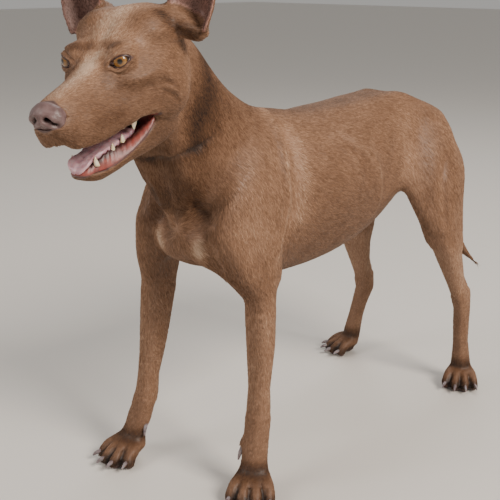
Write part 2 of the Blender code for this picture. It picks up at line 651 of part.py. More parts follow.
def claw(base, aim, grown=0.0):
    """A curved, tapering claw that leaves the toe along aim and turns down."""
    droop = Vector((0, 0, -1))
    rows = [row(base - aim * (0.0050 + grown), CLAW_RADIUS * 0.80 + grown, CLAW_RADIUS + grown),
            row(base + aim * 0.0020, CLAW_RADIUS * 0.80 + grown, CLAW_RADIUS + grown),
            row(base + aim * 0.0060 + droop * 0.0010, CLAW_RADIUS * 0.58, CLAW_RADIUS * 0.74),
            row(base + aim * 0.0095 + droop * 0.0030, CLAW_RADIUS * 0.30, CLAW_RADIUS * 0.38)]
    clay = bmesh.new()
    add_tube(clay, rows, side=tuple(droop.cross(aim)), sides=6, steps=1, ends=())
    return new_object("claw", clay)


def claws_of(leg, joints, sign, size):
    """(name, base, aim) of each claw on one foot."""
    found = []
    for number, (root, knuckle, tip, aim) in enumerate(toes_of(joints, sign, size), 1):
        found.append((f"claw_{leg}_{number}", tip + aim * 0.0060 * size + Vector((0, 0, 0.0022)), aim))
    if leg.startswith("fore"):
        place, aim = dewclaw_place(joints, sign)
        found.append((f"claw_{leg}_5", place + aim * 0.0120, aim))
    return found


# ---------------------------------------------------------------- parting the flesh

def plate(centre, normal, half_width, half_height, upright=(1, 0, 0)):
    """A flat cutter as thin as the gap: upright is the direction of its half width."""
    out = Vector(normal).normalized()
    side = Vector(upright) - out * out.dot(Vector(upright))
    side.normalize()
    turn = Matrix((side, out.cross(side), out)).transposed().to_4x4()
    clay = bmesh.new()
    place = Matrix.Translation(centre) @ turn
    place @= Matrix.Diagonal((2 * half_width, 2 * half_height, GAP, 1))
    bmesh.ops.create_cube(clay, size=1, matrix=place)
    return new_object("plate", clay)


def limb_box(outline, sign, inner_low, inner_high, out=0.20):
    """A cutter as thin as the gap round a limb's upper part: the sides and the inner face of a prism.

    outline runs round the limb in the side view as (y, z). The inner face leans from x = inner_low at
    the outline's bottom to inner_high at its top, and the outer face is left open, outside the body.
    """
    low = min(z for _, z in outline)
    high = max(z for _, z in outline)
    loop = spline([*outline[-2:], *outline, *outline[:3]], 2)[4:-6]
    clay = bmesh.new()
    inner = []
    outer = []
    for y, z in loop:
        x = inner_low + (inner_high - inner_low) * (z - low) / (high - low)
        inner.append(clay.verts.new((x * sign, y, z)))
        outer.append(clay.verts.new((out * sign, y, z)))
    for k in range(len(loop)):
        clay.faces.new((inner[k - 1], inner[k], outer[k], outer[k - 1]))
    clay.faces.new(inner)
    bmesh.ops.recalc_face_normals(clay, faces=clay.faces[:])
    shell = new_object("limb_box", clay)
    wall = shell.modifiers.new("wall", "SOLIDIFY")
    wall.thickness = GAP
    wall.offset = 0
    apply_modifiers(shell)
    return shell


SHOULDER_OUTLINE = (
    (-0.150, 0.462), (-0.205, 0.432), (-0.262, 0.386), (-0.292, 0.330), (-0.282, 0.266),
    (-0.215, 0.250), (-0.140, 0.256), (-0.112, 0.300), (-0.108, 0.370), (-0.122, 0.435),
)
THIGH_OUTLINE = (
    (0.200, 0.462), (0.145, 0.452), (0.112, 0.410), (0.118, 0.350), (0.128, 0.290),
    (0.160, 0.262), (0.215, 0.256), (0.262, 0.290), (0.276, 0.350), (0.262, 0.420), (0.238, 0.452),
)


def between(one, two):
    """The direction halfway between two."""
    return (Vector(one).normalized() + Vector(two).normalized()).normalized()


def cutters():
    """Every thin cutter that parts the flesh."""
    head = head_matrix()
    turn = head.to_3x3()
    found = [
        # Head from neck, behind the jaws and the ears.
        plate(head @ Vector((0, 0.084, -0.045)), turn @ Vector((0, 0.938, -0.347)), 0.085, 0.105, turn.col[0]),
        # Lower jaw from head, behind the corners of the mouth.
        plate(head @ Vector((0, 0.041, -0.097)), turn @ Vector((0, 0.802, 0.597)), 0.070, 0.0385, turn.col[0]),
        # Neck from trunk, from the withers to the breastbone.
        plate((0, -0.206, 0.446), (0, 0.694, -0.720), 0.120, 0.110),
        # Tail from rump.
        plate((0, 0.2765, 0.4180), (0, 0.920, -0.390), 0.030, 0.034),
    ]
    for name, sign in SIDES.items():
        fore = FORE_JOINTS[name]
        elbow, wrist, ball = (outwards(fore[joint], sign) for joint in ("elbow", "wrist", "ball"))
        found.append(limb_box(SHOULDER_OUTLINE, sign, 0.036, 0.060))
        found.append(plate(wrist, between(wrist - elbow, ball - wrist), 0.032, 0.032))
        hind = HIND_JOINTS[name]
        stifle, hock, ball = (outwards(hind[joint], sign) for joint in ("stifle", "hock", "ball"))
        found.append(limb_box(THIGH_OUTLINE, sign, 0.018, 0.036))
        found.append(plate(hock + Vector((0, -0.006, 0.020)), between(hock - stifle, ball - hock), 0.035, 0.035))
    return found


def labels():
    """A point inside each piece of the parted flesh."""
    head = head_matrix()
    found = {
        "head": head @ Vector((0, 0.030, -0.010)),
        "jaw": head @ jaw_matrix() @ Vector((0, -0.020, -0.082)),
        "neck": Vector((0.004, -0.250, 0.480)),
        "trunk": Vector((0, 0.000, 0.380)),
        "tail": Vector((-0.004, 0.293, 0.350)),
    }
    for name, sign in SIDES.items():
        fore = FORE_JOINTS[name]
        hind = HIND_JOINTS[name]
        found[f"upper_foreleg_{name}"] = outwards(fore["elbow"], sign) + Vector((0, 0, 0.040))
        found[f"lower_foreleg_{name}"] = outwards(fore["elbow"], sign).lerp(outwards(fore["wrist"], sign), 0.5)
        found[f"forepaw_{name}"] = outwards(fore["ball"], sign)
        found[f"thigh_{name}"] = outwards(hind["hip"], sign).lerp(outwards(hind["stifle"], sign), 0.5)
        found[f"lower_hindleg_{name}"] = outwards(hind["stifle"], sign).lerp(outwards(hind["hock"], sign), 0.5)
        found[f"hindpaw_{name}"] = outwards(hind["hock"], sign).lerp(outwards(hind["ball"], sign), 0.6)
    return found


def loose_pieces(made):
    """Splits an object into one object for each loose piece, and removes it."""
    whole = bmesh.new()
    whole.from_mesh(made.data)
    bpy.data.objects.remove(made)
    whole.verts.ensure_lookup_table()
    seen = set()
    pieces = []
    for start in whole.verts:
        if start in seen:
            continue
        seen.add(start)
        stack = [start]
        island = []
        while stack:
            vertex = stack.pop()
            island.append(vertex)
            for edge in vertex.link_edges:
                other = edge.other_vert(vertex)
                if other not in seen:
                    seen.add(other)
                    stack.append(other)
        copies = {}
        piece = bmesh.new()
        for vertex in island:
            copies[vertex] = piece.verts.new(vertex.co)
        for face in {face for vertex in island for face in vertex.link_faces}:
            piece.faces.new([copies[vertex] for vertex in face.verts])
        pieces.append(new_object("piece", piece))
    whole.free()
    return pieces


def surface_of(made):
    """A tree for finding where an object's faces meet another's."""
    clay = bmesh.new()
    clay.from_mesh(made.data)
    tree = BVHTree.FromBMesh(clay)
    clay.free()
    return tree


def holds(made, spot):
    """Whether a point lies inside a closed object: a ray from it leaves through an odd number of faces."""
    surface = surface_of(made)
    heading = Vector((0.12, 0.31, 0.94)).normalized()
    start = Vector(spot)
    crossings = 0
    while True:
        hit = surface.ray_cast(start, heading)[0]
        if hit is None:
            return crossings % 2 == 1
        crossings += 1
        start = hit + heading * 1e-5


def parted(dog):
    """Cuts the flesh, one loose piece at a time, and returns its pieces by name."""
    pieces = [dog]
    for cutter in cutters():
        blade = surface_of(cutter)
        whole = []
        for piece in pieces:
            if surface_of(piece).overlap(blade):
                boolean(piece, cutter, "DIFFERENCE", keep=True)
                whole.extend(loose_pieces(piece))
            else:
                whole.append(piece)
        bpy.data.objects.remove(cutter)
        pieces = whole
    named = {}
    for name, spot in labels().items():
        found = next(piece for piece in pieces if holds(piece, spot))
        named[name] = found
        pieces.remove(found)
    if pieces:
        raise ValueError(f"{len(pieces)} pieces of flesh have no name")
    return named


# ---------------------------------------------------------------- building

def clear_scene():
    for old in list(bpy.data.objects):
        bpy.data.objects.remove(old)


def flesh():
    """The whole body of flesh, melted together."""
    trunk = bmesh.new()
    add_trunk(trunk)
    for name, sign in SIDES.items():
        add_fore_leg(trunk, FORE_JOINTS[name], sign)
        add_hind_leg(trunk, HIND_JOINTS[name], sign)
    body = melt(new_object("body", trunk), 0.004, 16)
    fine = bmesh.new()
    add_tail(fine)
    for name, sign in SIDES.items():
        add_foot(fine, FORE_JOINTS[name], sign, FORE_SIZE)
        add_foot(fine, HIND_JOINTS[name], sign, HIND_SIZE)
        add_dewclaw_toe(fine, FORE_JOINTS[name], sign)
    feet = melt(new_object("feet", fine), 0.0018, 2)
    skull = bmesh.new()
    add_upper_head(skull)
    head = melt(new_object("skull", skull), 0.0022, 6)
    lower = bmesh.new()
    add_jaw(lower)
    jaw = melt(new_object("jaw", lower), 0.0020, 4)
    jaw.data.transform(jaw_matrix())
    for piece in (head, jaw):
        piece.data.transform(head_matrix())
    return melt(joined("flesh", [body, feet, head, jaw]), 0.0024, 4)


def thinned(made, triangles, coarse=None):
    """Fewer triangles, most of them lost where the vertex group coarse is full."""
    thin = made.modifiers.new("thin", "DECIMATE")
    thin.ratio = triangles / sum(len(face.vertices) - 2 for face in made.data.polygons)
    if coarse:
        thin.vertex_group = coarse
        thin.vertex_group_factor = 1.0
    apply_modifiers(made)


def weigh_trunk(dog):
    """A vertex group that is full on the trunk and the legs, and near empty on the head and the feet."""
    group = dog.vertex_groups.new(name="coarse")
    middle = head_matrix() @ Vector((0, -0.015, -0.040))
    for vertex in dog.data.vertices:
        from_head = (vertex.co - middle).length
        fine = max(0.0, 1 - max(0.0, from_head - 0.100) / 0.030, 1 - max(0.0, vertex.co.z - 0.035) / 0.030)
        group.add([vertex.index], 1 - FINENESS * min(1.0, fine), "REPLACE")


def fit_into(host, piece, cutter):
    """Lets a small piece sit in a pocket of its host."""
    boolean(host, cutter, "DIFFERENCE")
    return piece


def head_pieces(flesh_pieces):
    """The eyes, nose and tongue in their pockets, and the teeth joined to the jaws."""
    head = flesh_pieces["head"]
    jaw = flesh_pieces["jaw"]
    found = {}
    for name, sign in SIDES.items():
        found[f"eye_{name}"] = fit_into(head, eye(sign), eye_socket(sign))
    for name, host, piece in (("nose", head, nose()), ("tongue", jaw, tongue())):
        found[name] = fit_into(host, piece, swollen(piece, 1.5 * GAP))
    boolean(head, teeth(UPPER_TEETH, -1, head_matrix()), "UNION")
    boolean(jaw, teeth(LOWER_TEETH, 1, head_matrix() @ jaw_matrix()), "UNION")
    return found


def foot_pieces(flesh_pieces):
    """Every claw, in its pocket."""
    found = {}
    for side, sign in SIDES.items():
        for leg, joints, size in (("fore", FORE_JOINTS[side], FORE_SIZE), ("hind", HIND_JOINTS[side], HIND_SIZE)):
            paw = flesh_pieces[f"{leg}paw_{side}"]
            for name, base, aim in claws_of(f"{leg}_{side}", joints, sign, size):
                found[name] = fit_into(paw, claw(base, aim), claw(base, aim, GAP))
    return found


def finish(made, name):
    """Names a piece, colours it and smooths its shading."""
    made.name = name
    made.data.name = name
    kind = next((kind for kind in COLOURS if name.startswith(kind)), "coat")
    material = bpy.data.materials.get(kind) or bpy.data.materials.new(kind)
    material.use_nodes = True
    surface = material.node_tree.nodes["Principled BSDF"]
    surface.inputs["Base Color"].default_value = (*COLOURS[kind], 1)
    surface.inputs["Roughness"].default_value = 0.2 if kind == "eye" else 0.6
    made.data.materials.clear()
    made.data.materials.append(material)
    for face in made.data.polygons:
        face.use_smooth = True


def stand_on_origin(pieces):
    """Moves everything so that the origin is under the middle of its box, with the soles on z = 0."""
    points = np.array([vertex.co for made in pieces for vertex in made.data.vertices])
    middle = (points.min(axis=0) + points.max(axis=0)) / 2
    for made in pieces:
        made.data.transform(Matrix.Translation((-middle[0], -middle[1], 0)))


def main():
    clear_scene()
    dog = flesh()
    weigh_trunk(dog)
    thinned(dog, FLESH_TRIANGLES, "coarse")
    dog.vertex_groups.clear()
    ears = {}
    for name, sign in SIDES.items():
        leaf = ear_leaf(sign)
        boolean(dog, ear_space(sign, 0), "DIFFERENCE")
        boolean(leaf, ear_space(sign, GAP), "INTERSECT")
        ears[f"ear_{name}"] = leaf
    under_floor = bmesh.new()
    bmesh.ops.create_cube(under_floor, size=2, matrix=Matrix.Translation((0, 0, -1)))
    boolean(dog, new_object("under_floor", under_floor), "DIFFERENCE")
    pieces = parted(dog)
    pieces.update(ears)
    pieces.update(head_pieces(pieces))
    pieces.update(foot_pieces(pieces))
    for name, made in pieces.items():
        finish(made, name)
    stand_on_origin(list(pieces.values()))


if __name__ == "__main__":
    main()
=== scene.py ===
"""Looks of a short-coated brown dog that stands with its head turned and its mouth open.

One skin stands for the nodes of flesh and lies inside them by the depth of the coat. Over it lie fine blades of
hair that follow the lie of the coat. Eyes, nose, tongue, gums, teeth and claws are pieces of their own.
"""
import json
import logging
import math
from dataclasses import dataclass, field
from enum import Enum

import bmesh
import bpy
import numpy as np
from bpy.types import ID, Material, Mesh, Node, NodeSocket, NodeTree, Object
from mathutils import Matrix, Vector
from mathutils.bvhtree import BVHTree

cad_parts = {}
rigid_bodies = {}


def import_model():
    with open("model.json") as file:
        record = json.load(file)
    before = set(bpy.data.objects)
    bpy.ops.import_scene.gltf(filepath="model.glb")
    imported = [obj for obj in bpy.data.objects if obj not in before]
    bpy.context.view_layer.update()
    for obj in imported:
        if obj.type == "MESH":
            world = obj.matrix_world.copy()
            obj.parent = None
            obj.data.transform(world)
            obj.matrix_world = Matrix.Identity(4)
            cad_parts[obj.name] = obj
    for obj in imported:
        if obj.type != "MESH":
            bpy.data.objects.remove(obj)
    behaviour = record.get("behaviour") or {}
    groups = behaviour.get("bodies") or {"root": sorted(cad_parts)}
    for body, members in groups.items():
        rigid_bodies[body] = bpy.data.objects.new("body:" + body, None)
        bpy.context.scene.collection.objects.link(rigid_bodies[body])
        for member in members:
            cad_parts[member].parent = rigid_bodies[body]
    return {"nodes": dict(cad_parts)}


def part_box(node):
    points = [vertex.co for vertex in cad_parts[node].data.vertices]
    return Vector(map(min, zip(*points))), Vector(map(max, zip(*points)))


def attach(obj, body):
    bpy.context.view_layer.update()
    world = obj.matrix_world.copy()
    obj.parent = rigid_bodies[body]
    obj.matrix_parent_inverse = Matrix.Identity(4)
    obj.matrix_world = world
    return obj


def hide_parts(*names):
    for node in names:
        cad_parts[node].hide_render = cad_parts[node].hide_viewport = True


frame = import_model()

LOG = logging.getLogger("dog")


class Side(Enum):
    """A side of the dog. Its value is the sign of x on that side, in the dog's frame and in the head's."""

    left = 1
    right = -1


SIGNS = tuple(side.value for side in Side)


# ---------------- plain helpers

def linear(hex_colour: str) -> tuple[float, float, float, float]:
    """A colour socket's value from an sRGB hex colour.

    Args:
        hex_colour: six hexadecimal digits, such as "6b4a3a".

    Returns:
        Linear red, green and blue, and 1 for alpha.
    """
    parts = [int(hex_colour[i:i + 2], 16) / 255 for i in (0, 2, 4)]
    lit = [p / 12.92 if p <= 0.04045 else ((p + 0.055) / 1.055) ** 2.4 for p in parts]
    return (lit[0], lit[1], lit[2], 1.0)


def add_node(tree: NodeTree, kind: str, settings: dict | None = None,
             links: dict | None = None, **values: object) -> Node:
    """Adds one node to a material.

    Args:
        tree: the material's node tree.
        kind: the node's type name, such as "ShaderNodeTexNoise".
        settings: the node's own properties.
        links: input names or numbers, each with the output that feeds it.
        values: input names, with _ for a space, and their constant values.

    Returns:
        The new node.
    """
    node = tree.nodes.new(kind)
    for name, value in (settings or {}).items():
        setattr(node, name, value)
    for name, value in values.items():
        node.inputs[name.replace("_", " ")].default_value = value
    for name, output in (links or {}).items():
        tree.links.new(output, node.inputs[name])
    return node


def new_material(name: str) -> tuple[Material, NodeTree, Node]:
    """A material with only its Principled shader and output.

    Args:
        name: of the real material.

    Returns:
        The material, its node tree and its Principled node.
    """
    material = bpy.data.materials.new(name)
    material.use_nodes = True
    return material, material.node_tree, material.node_tree.nodes["Principled BSDF"]


def centre_of(node: str) -> Vector:
    """The middle of a solid's box."""
    low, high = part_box(node)
    return (low + high) / 2


def under_trunk() -> np.ndarray:
    """The place on the floor under the middle of the trunk, where the body's own frame stands."""
    return np.array(centre_of("trunk")) * (1, 1, 0)


def deselect_all() -> None:
    """Leaves nothing selected, so that an operator acts only on what comes next."""
    for made in bpy.context.view_layer.objects:
        made.select_set(False)


def only(made: Object) -> None:
    """Makes one object the selected and active one.

    Args:
        made: the object.
    """
    deselect_all()
    made.select_set(True)
    bpy.context.view_layer.objects.active = made


def linked(name: str, data: ID) -> Object:
    """A new object in the scene.

    Args:
        name: of the object.
        data: its mesh, camera or light.

    Returns:
        The object.
    """
    made = bpy.data.objects.new(name, data)
    bpy.context.scene.collection.objects.link(made)
    return made


def object_from(name: str, points: np.ndarray, faces: list) -> Object:
    """A piece from points and faces with any number of corners.

    Args:
        name: of the piece.
        points: its N points.
        faces: rows of point numbers.

    Returns:
        The piece.
    """
    mesh = bpy.data.meshes.new(name)
    mesh.from_pydata(np.asarray(points).tolist(), [], [tuple(f) for f in faces])
    mesh.update()
    return linked(name, mesh)


def mesh_of(name: str, points: np.ndarray, faces: np.ndarray) -> Mesh:
    """A mesh from many points and triangles at once.

    Args:
        name: of the mesh.
        points: its N points.
        faces: its M triangles, as point numbers.

    Returns:
        The mesh.
    """
    mesh = bpy.data.meshes.new(name)
    mesh.vertices.add(len(points))
    mesh.vertices.foreach_set("co", np.asarray(points, np.float32).ravel())
    mesh.loops.add(faces.size)
    mesh.loops.foreach_set("vertex_index", faces.astype(np.int32).ravel())
    mesh.polygons.add(len(faces))
    mesh.polygons.foreach_set("loop_start", np.arange(0, faces.size, 3, dtype=np.int32))
    mesh.update(calc_edges=True)
    return mesh


def unit_ball(name: str, segments: int, rings: int) -> tuple[Object, np.ndarray]:
    """A ball of radius 1 at the origin, to be shaped.

    Args:
        name: of the piece.
        segments: how many slices it has round its axis.
        rings: how many it has along its axis.

    Returns:
        The piece and its points.
    """
    deselect_all()
    bpy.ops.mesh.primitive_uv_sphere_add(segments=segments, ring_count=rings, radius=1, location=(0, 0, 0))
    made = bpy.context.object
    made.name = name
    return made, np.array([v.co[:] for v in made.data.vertices])


def move_points(made: Object, points: np.ndarray) -> None:
    """Gives a piece's points new places."""
    made.data.vertices.foreach_set("co", points.astype(np.float32).ravel())


def apply_modifiers(made: Object) -> None:
    """Applies every modifier of a piece, in order.

    Args:
        made: the piece.
    """
    only(made)
    for modifier in list(made.modifiers):
        bpy.ops.object.modifier_apply(modifier=modifier.name)


def melt(made: Object, voxel: float) -> None:
    """Melts all that a piece holds into one closed shell.

    Args:
        made: the piece.
        voxel: size of the smallest form that survives.
    """
    remesh = made.modifiers.new("melt", "REMESH")
    remesh.mode = "VOXEL"
    remesh.voxel_size = voxel
    apply_modifiers(made)


def smooth_shaded(made: Object) -> None:
    """Shades every face of a piece smooth."""
    made.data.polygons.foreach_set("use_smooth", np.ones(len(made.data.polygons), bool))
    made.data.update()


def recalculated(made: Object) -> None:
    """Turns a closed piece's faces outwards.

    Args:
        made: the piece.
    """
    shape = bmesh.new()
    shape.from_mesh(made.data)
    shape.normal_update()
    bmesh.ops.recalc_face_normals(shape, faces=shape.faces[:])
    shape.to_mesh(made.data)
    shape.free()


def finished(made: Object, material: Material) -> Object:
    """Turns a closed piece's faces out, shades it smooth, dresses it and ties it to the dog.

    Args:
        made: the piece.
        material: its finish.

    Returns:
        The piece.
    """
    recalculated(made)
    smooth_shaded(made)
    made.data.materials.append(material)
    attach(made, "root")
    return made


def write_value(made: Object, name: str, values: np.ndarray) -> None:
    """Gives each point of a piece one number, which its material reads by name."""
    attribute = made.data.attributes.new(name, "FLOAT", "POINT")
    attribute.data.foreach_set("value", np.asarray(values, np.float32))


def turn_of(count: int) -> np.ndarray:
    """This many angles evenly round a circle, in radians."""
    return np.arange(count) / count * 2 * math.pi


def lofted(rings: list) -> tuple[np.ndarray, list]:
    """A closed tube through rings of equal count.

    Args:
        rings: the rings' points, in order along the tube.

    Returns:
        Its points and its faces.
    """
    count = len(rings[0])
    faces = [tuple(reversed(range(count)))]
    for r in range(len(rings) - 1):
        for k in range(count):
            n = (k + 1) % count
            faces.append((r * count + k, r * count + n, (r + 1) * count + n, (r + 1) * count + k))
    last = (len(rings) - 1) * count
    faces.append(tuple(range(last, last + count)))
    return np.concatenate(rings), faces


def curve_points(rows: tuple, steps: int) -> np.ndarray:
    """Points of a Catmull-Rom curve through the rows.

    Args:
        rows: the points it passes through, of any dimension.
        steps: how many points it gives for each stretch.

    Returns:
        The curve's points.
    """
    rows = np.array(rows, float)
    rows = np.vstack([2 * rows[0] - rows[1], rows, 2 * rows[-1] - rows[-2]])
    found = []
    for before, start, end, after in zip(rows, rows[1:], rows[2:], rows[3:]):
        for t in np.arange(steps) / steps:
            bend = 2 * before - 5 * start + 4 * end - after
            twist = 3 * start - before - 3 * end + after
            found.append(start + ((end - before) * t + bend * t**2 + twist * t**3) / 2)
    found.append(rows[-2])
    return np.array(found)


def smoothstep(value: np.ndarray, low: float, high: float) -> np.ndarray:
    """0 below low, 1 above high, with a soft step between."""
    t = np.clip((value - low) / (high - low), 0, 1)
    return t * t * (3 - 2 * t)


def bell(gap: np.ndarray, width: float) -> np.ndarray:
    """1 where the gap is 0, falling softly to about a third at this width."""
    return np.exp(-((gap / width) ** 2))


def rounded(wave: np.ndarray, power: float) -> np.ndarray:
    """A sine or cosine raised to a power with its sign kept, which makes a ring's corners fuller below 1."""
    return np.sign(wave) * np.abs(wave) ** power


def to_line(points: np.ndarray, line: np.ndarray) -> tuple[np.ndarray, np.ndarray]:
    """Distance of points from a polyline, and how far along it the nearest place is.

    Args:
        points: N points.
        line: the polyline's corners.

    Returns:
        N distances, and N shares from 0 at its start to 1 at its end.
    """
    best = np.full(len(points), np.inf)
    along = np.zeros(len(points))
    for i, (start, end) in enumerate(zip(line, line[1:])):
        span = end - start
        t = np.clip((points - start) @ span / (span @ span + 1e-12), 0, 1)
        gap = np.linalg.norm(points - start - t[:, None] * span, axis=1)
        nearer = gap < best
        best[nearer] = gap[nearer]
        along[nearer] = ((i + t) / (len(line) - 1))[nearer]
    return best, along


# ---------------- the head's frame

HALF_BETWEEN_EYES = 0.0292
NOSE_AHEAD, NOSE_BELOW = 0.0833, 0.0384


@dataclass(frozen=True)
class HeadFrame:
    """The head's own frame: x to its left, y back, z up, with the origin midway between the eyes."""

    matrix: np.ndarray
    origin: np.ndarray

    @classmethod
    def measured(cls) -> "HeadFrame":
        """Works the frame out from the solids of the eyes and the nose.

        Returns:
            The frame.
        """
        left, right, nose = (np.array(centre_of(n)) for n in ("eye_left", "eye_right", "nose"))
        side = left - right
        scale = np.linalg.norm(side) / (2 * HALF_BETWEEN_EYES)
        side /= np.linalg.norm(side)
        to_nose = nose - (left + right) / 2
        to_nose -= side * (to_nose @ side)
        to_nose /= np.linalg.norm(to_nose)
        third = np.cross(side, to_nose)
        rise = math.atan2(NOSE_BELOW, NOSE_AHEAD)
        back = third * math.sin(rise) - to_nose * math.cos(rise)
        up = np.cross(side, back)
        matrix = np.stack([side, back, up], axis=1) * scale
        origin = (left + right) / 2 - matrix @ np.array((0, -0.0080, 0.0005))
        return cls(matrix, origin)

    def out(self, points: object) -> np.ndarray:
        """From the head's frame to the dog's."""
        return np.asarray(points, float) @ self.matrix.T + self.origin

    def into(self, points: np.ndarray) -> np.ndarray:
        """From the dog's frame to the head's."""
        return (np.asarray(points, float) - self.origin) @ np.linalg.inv(self.matrix).T


# ---------------- the skin's surface as plain arrays

class Surface:
    """A triangle mesh held as arrays, for moves of many points at once."""

    def __init__(self, points: np.ndarray, faces: np.ndarray) -> None:
        """Finds the edges of a mesh.

        Args:
            points: its N points.
            faces: its M triangles, as point numbers.
        """
        self.points = points
        self.faces = faces
        ends = np.concatenate([faces[:, [0, 1]], faces[:, [1, 2]], faces[:, [2, 0]]])
        ends.sort(axis=1)
        keys = np.unique(ends[:, 0].astype(np.int64) * len(points) + ends[:, 1])
        self.one, self.two = keys // len(points), keys % len(points)
        self.degree = np.bincount(self.one, minlength=len(points)) + np.bincount(self.two, minlength=len(points))
        self.degree = np.maximum(self.degree, 1)

    @classmethod
    def of(cls, made: Object) -> "Surface":
        """The surface of a piece, its faces split into triangles.

        Args:
            made: the piece.

        Returns:
            The surface.
        """
        mesh = made.data
        mesh.calc_loop_triangles()
        points = np.empty(len(mesh.vertices) * 3, np.float32)
        mesh.vertices.foreach_get("co", points)
        faces = np.empty(len(mesh.loop_triangles) * 3, np.int32)
        mesh.loop_triangles.foreach_get("vertices", faces)
        return cls(points.reshape(-1, 3).astype(float), faces.reshape(-1, 3))

    def split(self, chosen: np.ndarray) -> np.ndarray:
        """Halves every edge between two chosen points, and splits the triangles to match.

        Args:
            chosen: for each point, whether it is chosen.

        Returns:
            For each point of the new surface, the number of the old point that it is or lies next to.
        """
        count = len(self.points)
        halved = chosen[self.one] & chosen[self.two]
        number = np.full(len(self.one), -1)
        number[halved] = count + np.arange(halved.sum())
        keys = self.one * count + self.two
        middles = (self.points[self.one] + self.points[self.two])[halved] / 2
        a, b, c = self.faces.T.astype(np.int64)
        at = []
        for start, end in ((a, b), (b, c), (c, a)):
            key = np.minimum(start, end) * count + np.maximum(start, end)
            at.append(number[np.searchsorted(keys, key)])
        ab, bc, ca = at
        made = []
        how_many = (ab >= 0).astype(int) + (bc >= 0) + (ca >= 0)
        made.append(np.stack([a, b, c], 1)[how_many == 0])
        full = how_many == 3
        for trio in ((a, ab, ca), (ab, b, bc), (ca, bc, c), (ab, bc, ca)):
            made.append(np.stack(trio, 1)[full])
        for x, y, z, xy in ((a, b, c, ab), (b, c, a, bc), (c, a, b, ca)):
            single = (how_many == 1) & (xy >= 0)
            made += [np.stack([x, xy, z], 1)[single], np.stack([xy, y, z], 1)[single]]
        nearest = np.concatenate([np.arange(count), self.one[halved]])
        self.__init__(np.vstack([self.points, middles]), np.concatenate(made).astype(np.int32))
        return nearest

    def spread(self, values: np.ndarray) -> np.ndarray:
        """The mean over each point's neighbours.

        Args:
            values: one number or row for each point.

        Returns:
            As many means.
        """
        count = len(self.points)
        flat = values.reshape(count, -1)
        found = np.empty_like(flat)
        for k in range(flat.shape[1]):
            column = flat[:, k]
            found[:, k] = np.bincount(self.one, column[self.two], count)
            found[:, k] += np.bincount(self.two, column[self.one], count)
        return (found / self.degree[:, None]).reshape(values.shape)

    def soften(self, rounds: int, share: np.ndarray | float) -> None:
        """Moves every point towards its neighbours' mean.

        Args:
            rounds: how many times.
            share: of the way, one for all points or one for each.
        """
        share = np.broadcast_to(share, len(self.points))[:, None]
        for _ in range(rounds):
            self.points += share * (self.spread(self.points) - self.points)

    def blurred(self, values: np.ndarray, rounds: int) -> np.ndarray:
        """Values of the points, blurred over the surface.

        Args:
            values: one number for each point.
            rounds: how many times they are mixed with their neighbours'.

        Returns:
            The blurred values.
        """
        for _ in range(rounds):
            values = 0.5 * values + 0.5 * self.spread(values)
        return values

    def normals(self) -> np.ndarray:
        """Each point's outward direction.

        Returns:
            A unit row for each point.
        """
        corners = self.points[self.faces]
        across = np.cross(corners[:, 1] - corners[:, 0], corners[:, 2] - corners[:, 0])
        found = np.zeros_like(self.points)
        for k in range(3):
            for axis in range(3):
                found[:, axis] += np.bincount(self.faces[:, k], across[:, axis], len(self.points))
        return found / (np.linalg.norm(found, axis=1)[:, None] + 1e-15)

    def swell(self, height: np.ndarray) -> None:
        """Moves every point outwards by its own height."""
        self.points += self.normals() * height[:, None]


# ---------------- flesh

LIMBS = ("ear", "upper_foreleg", "lower_foreleg", "forepaw", "thigh", "lower_hindleg", "hindpaw")
FLESH = ["head", "jaw", "neck", "trunk", "tail"] + [f"{limb}_{side.name}" for side in Side for limb in LIMBS]

# Lines that form and tones share: the groove beside the breast, and two wrinkles of the cheek.
BREAST_GROOVE = ((0.03, -0.285, 0.425), (0.037, -0.268, 0.392), (0.041, -0.254, 0.362))
UPPER_WRINKLE = ((0.0545, 0.025, -0.0235), (0.059, 0.033, -0.0275), (0.0605, 0.041, -0.033))
LOWER_WRINKLE = ((0.055, 0.025, -0.034), (0.059, 0.034, -0.04), (0.059, 0.043, -0.048))
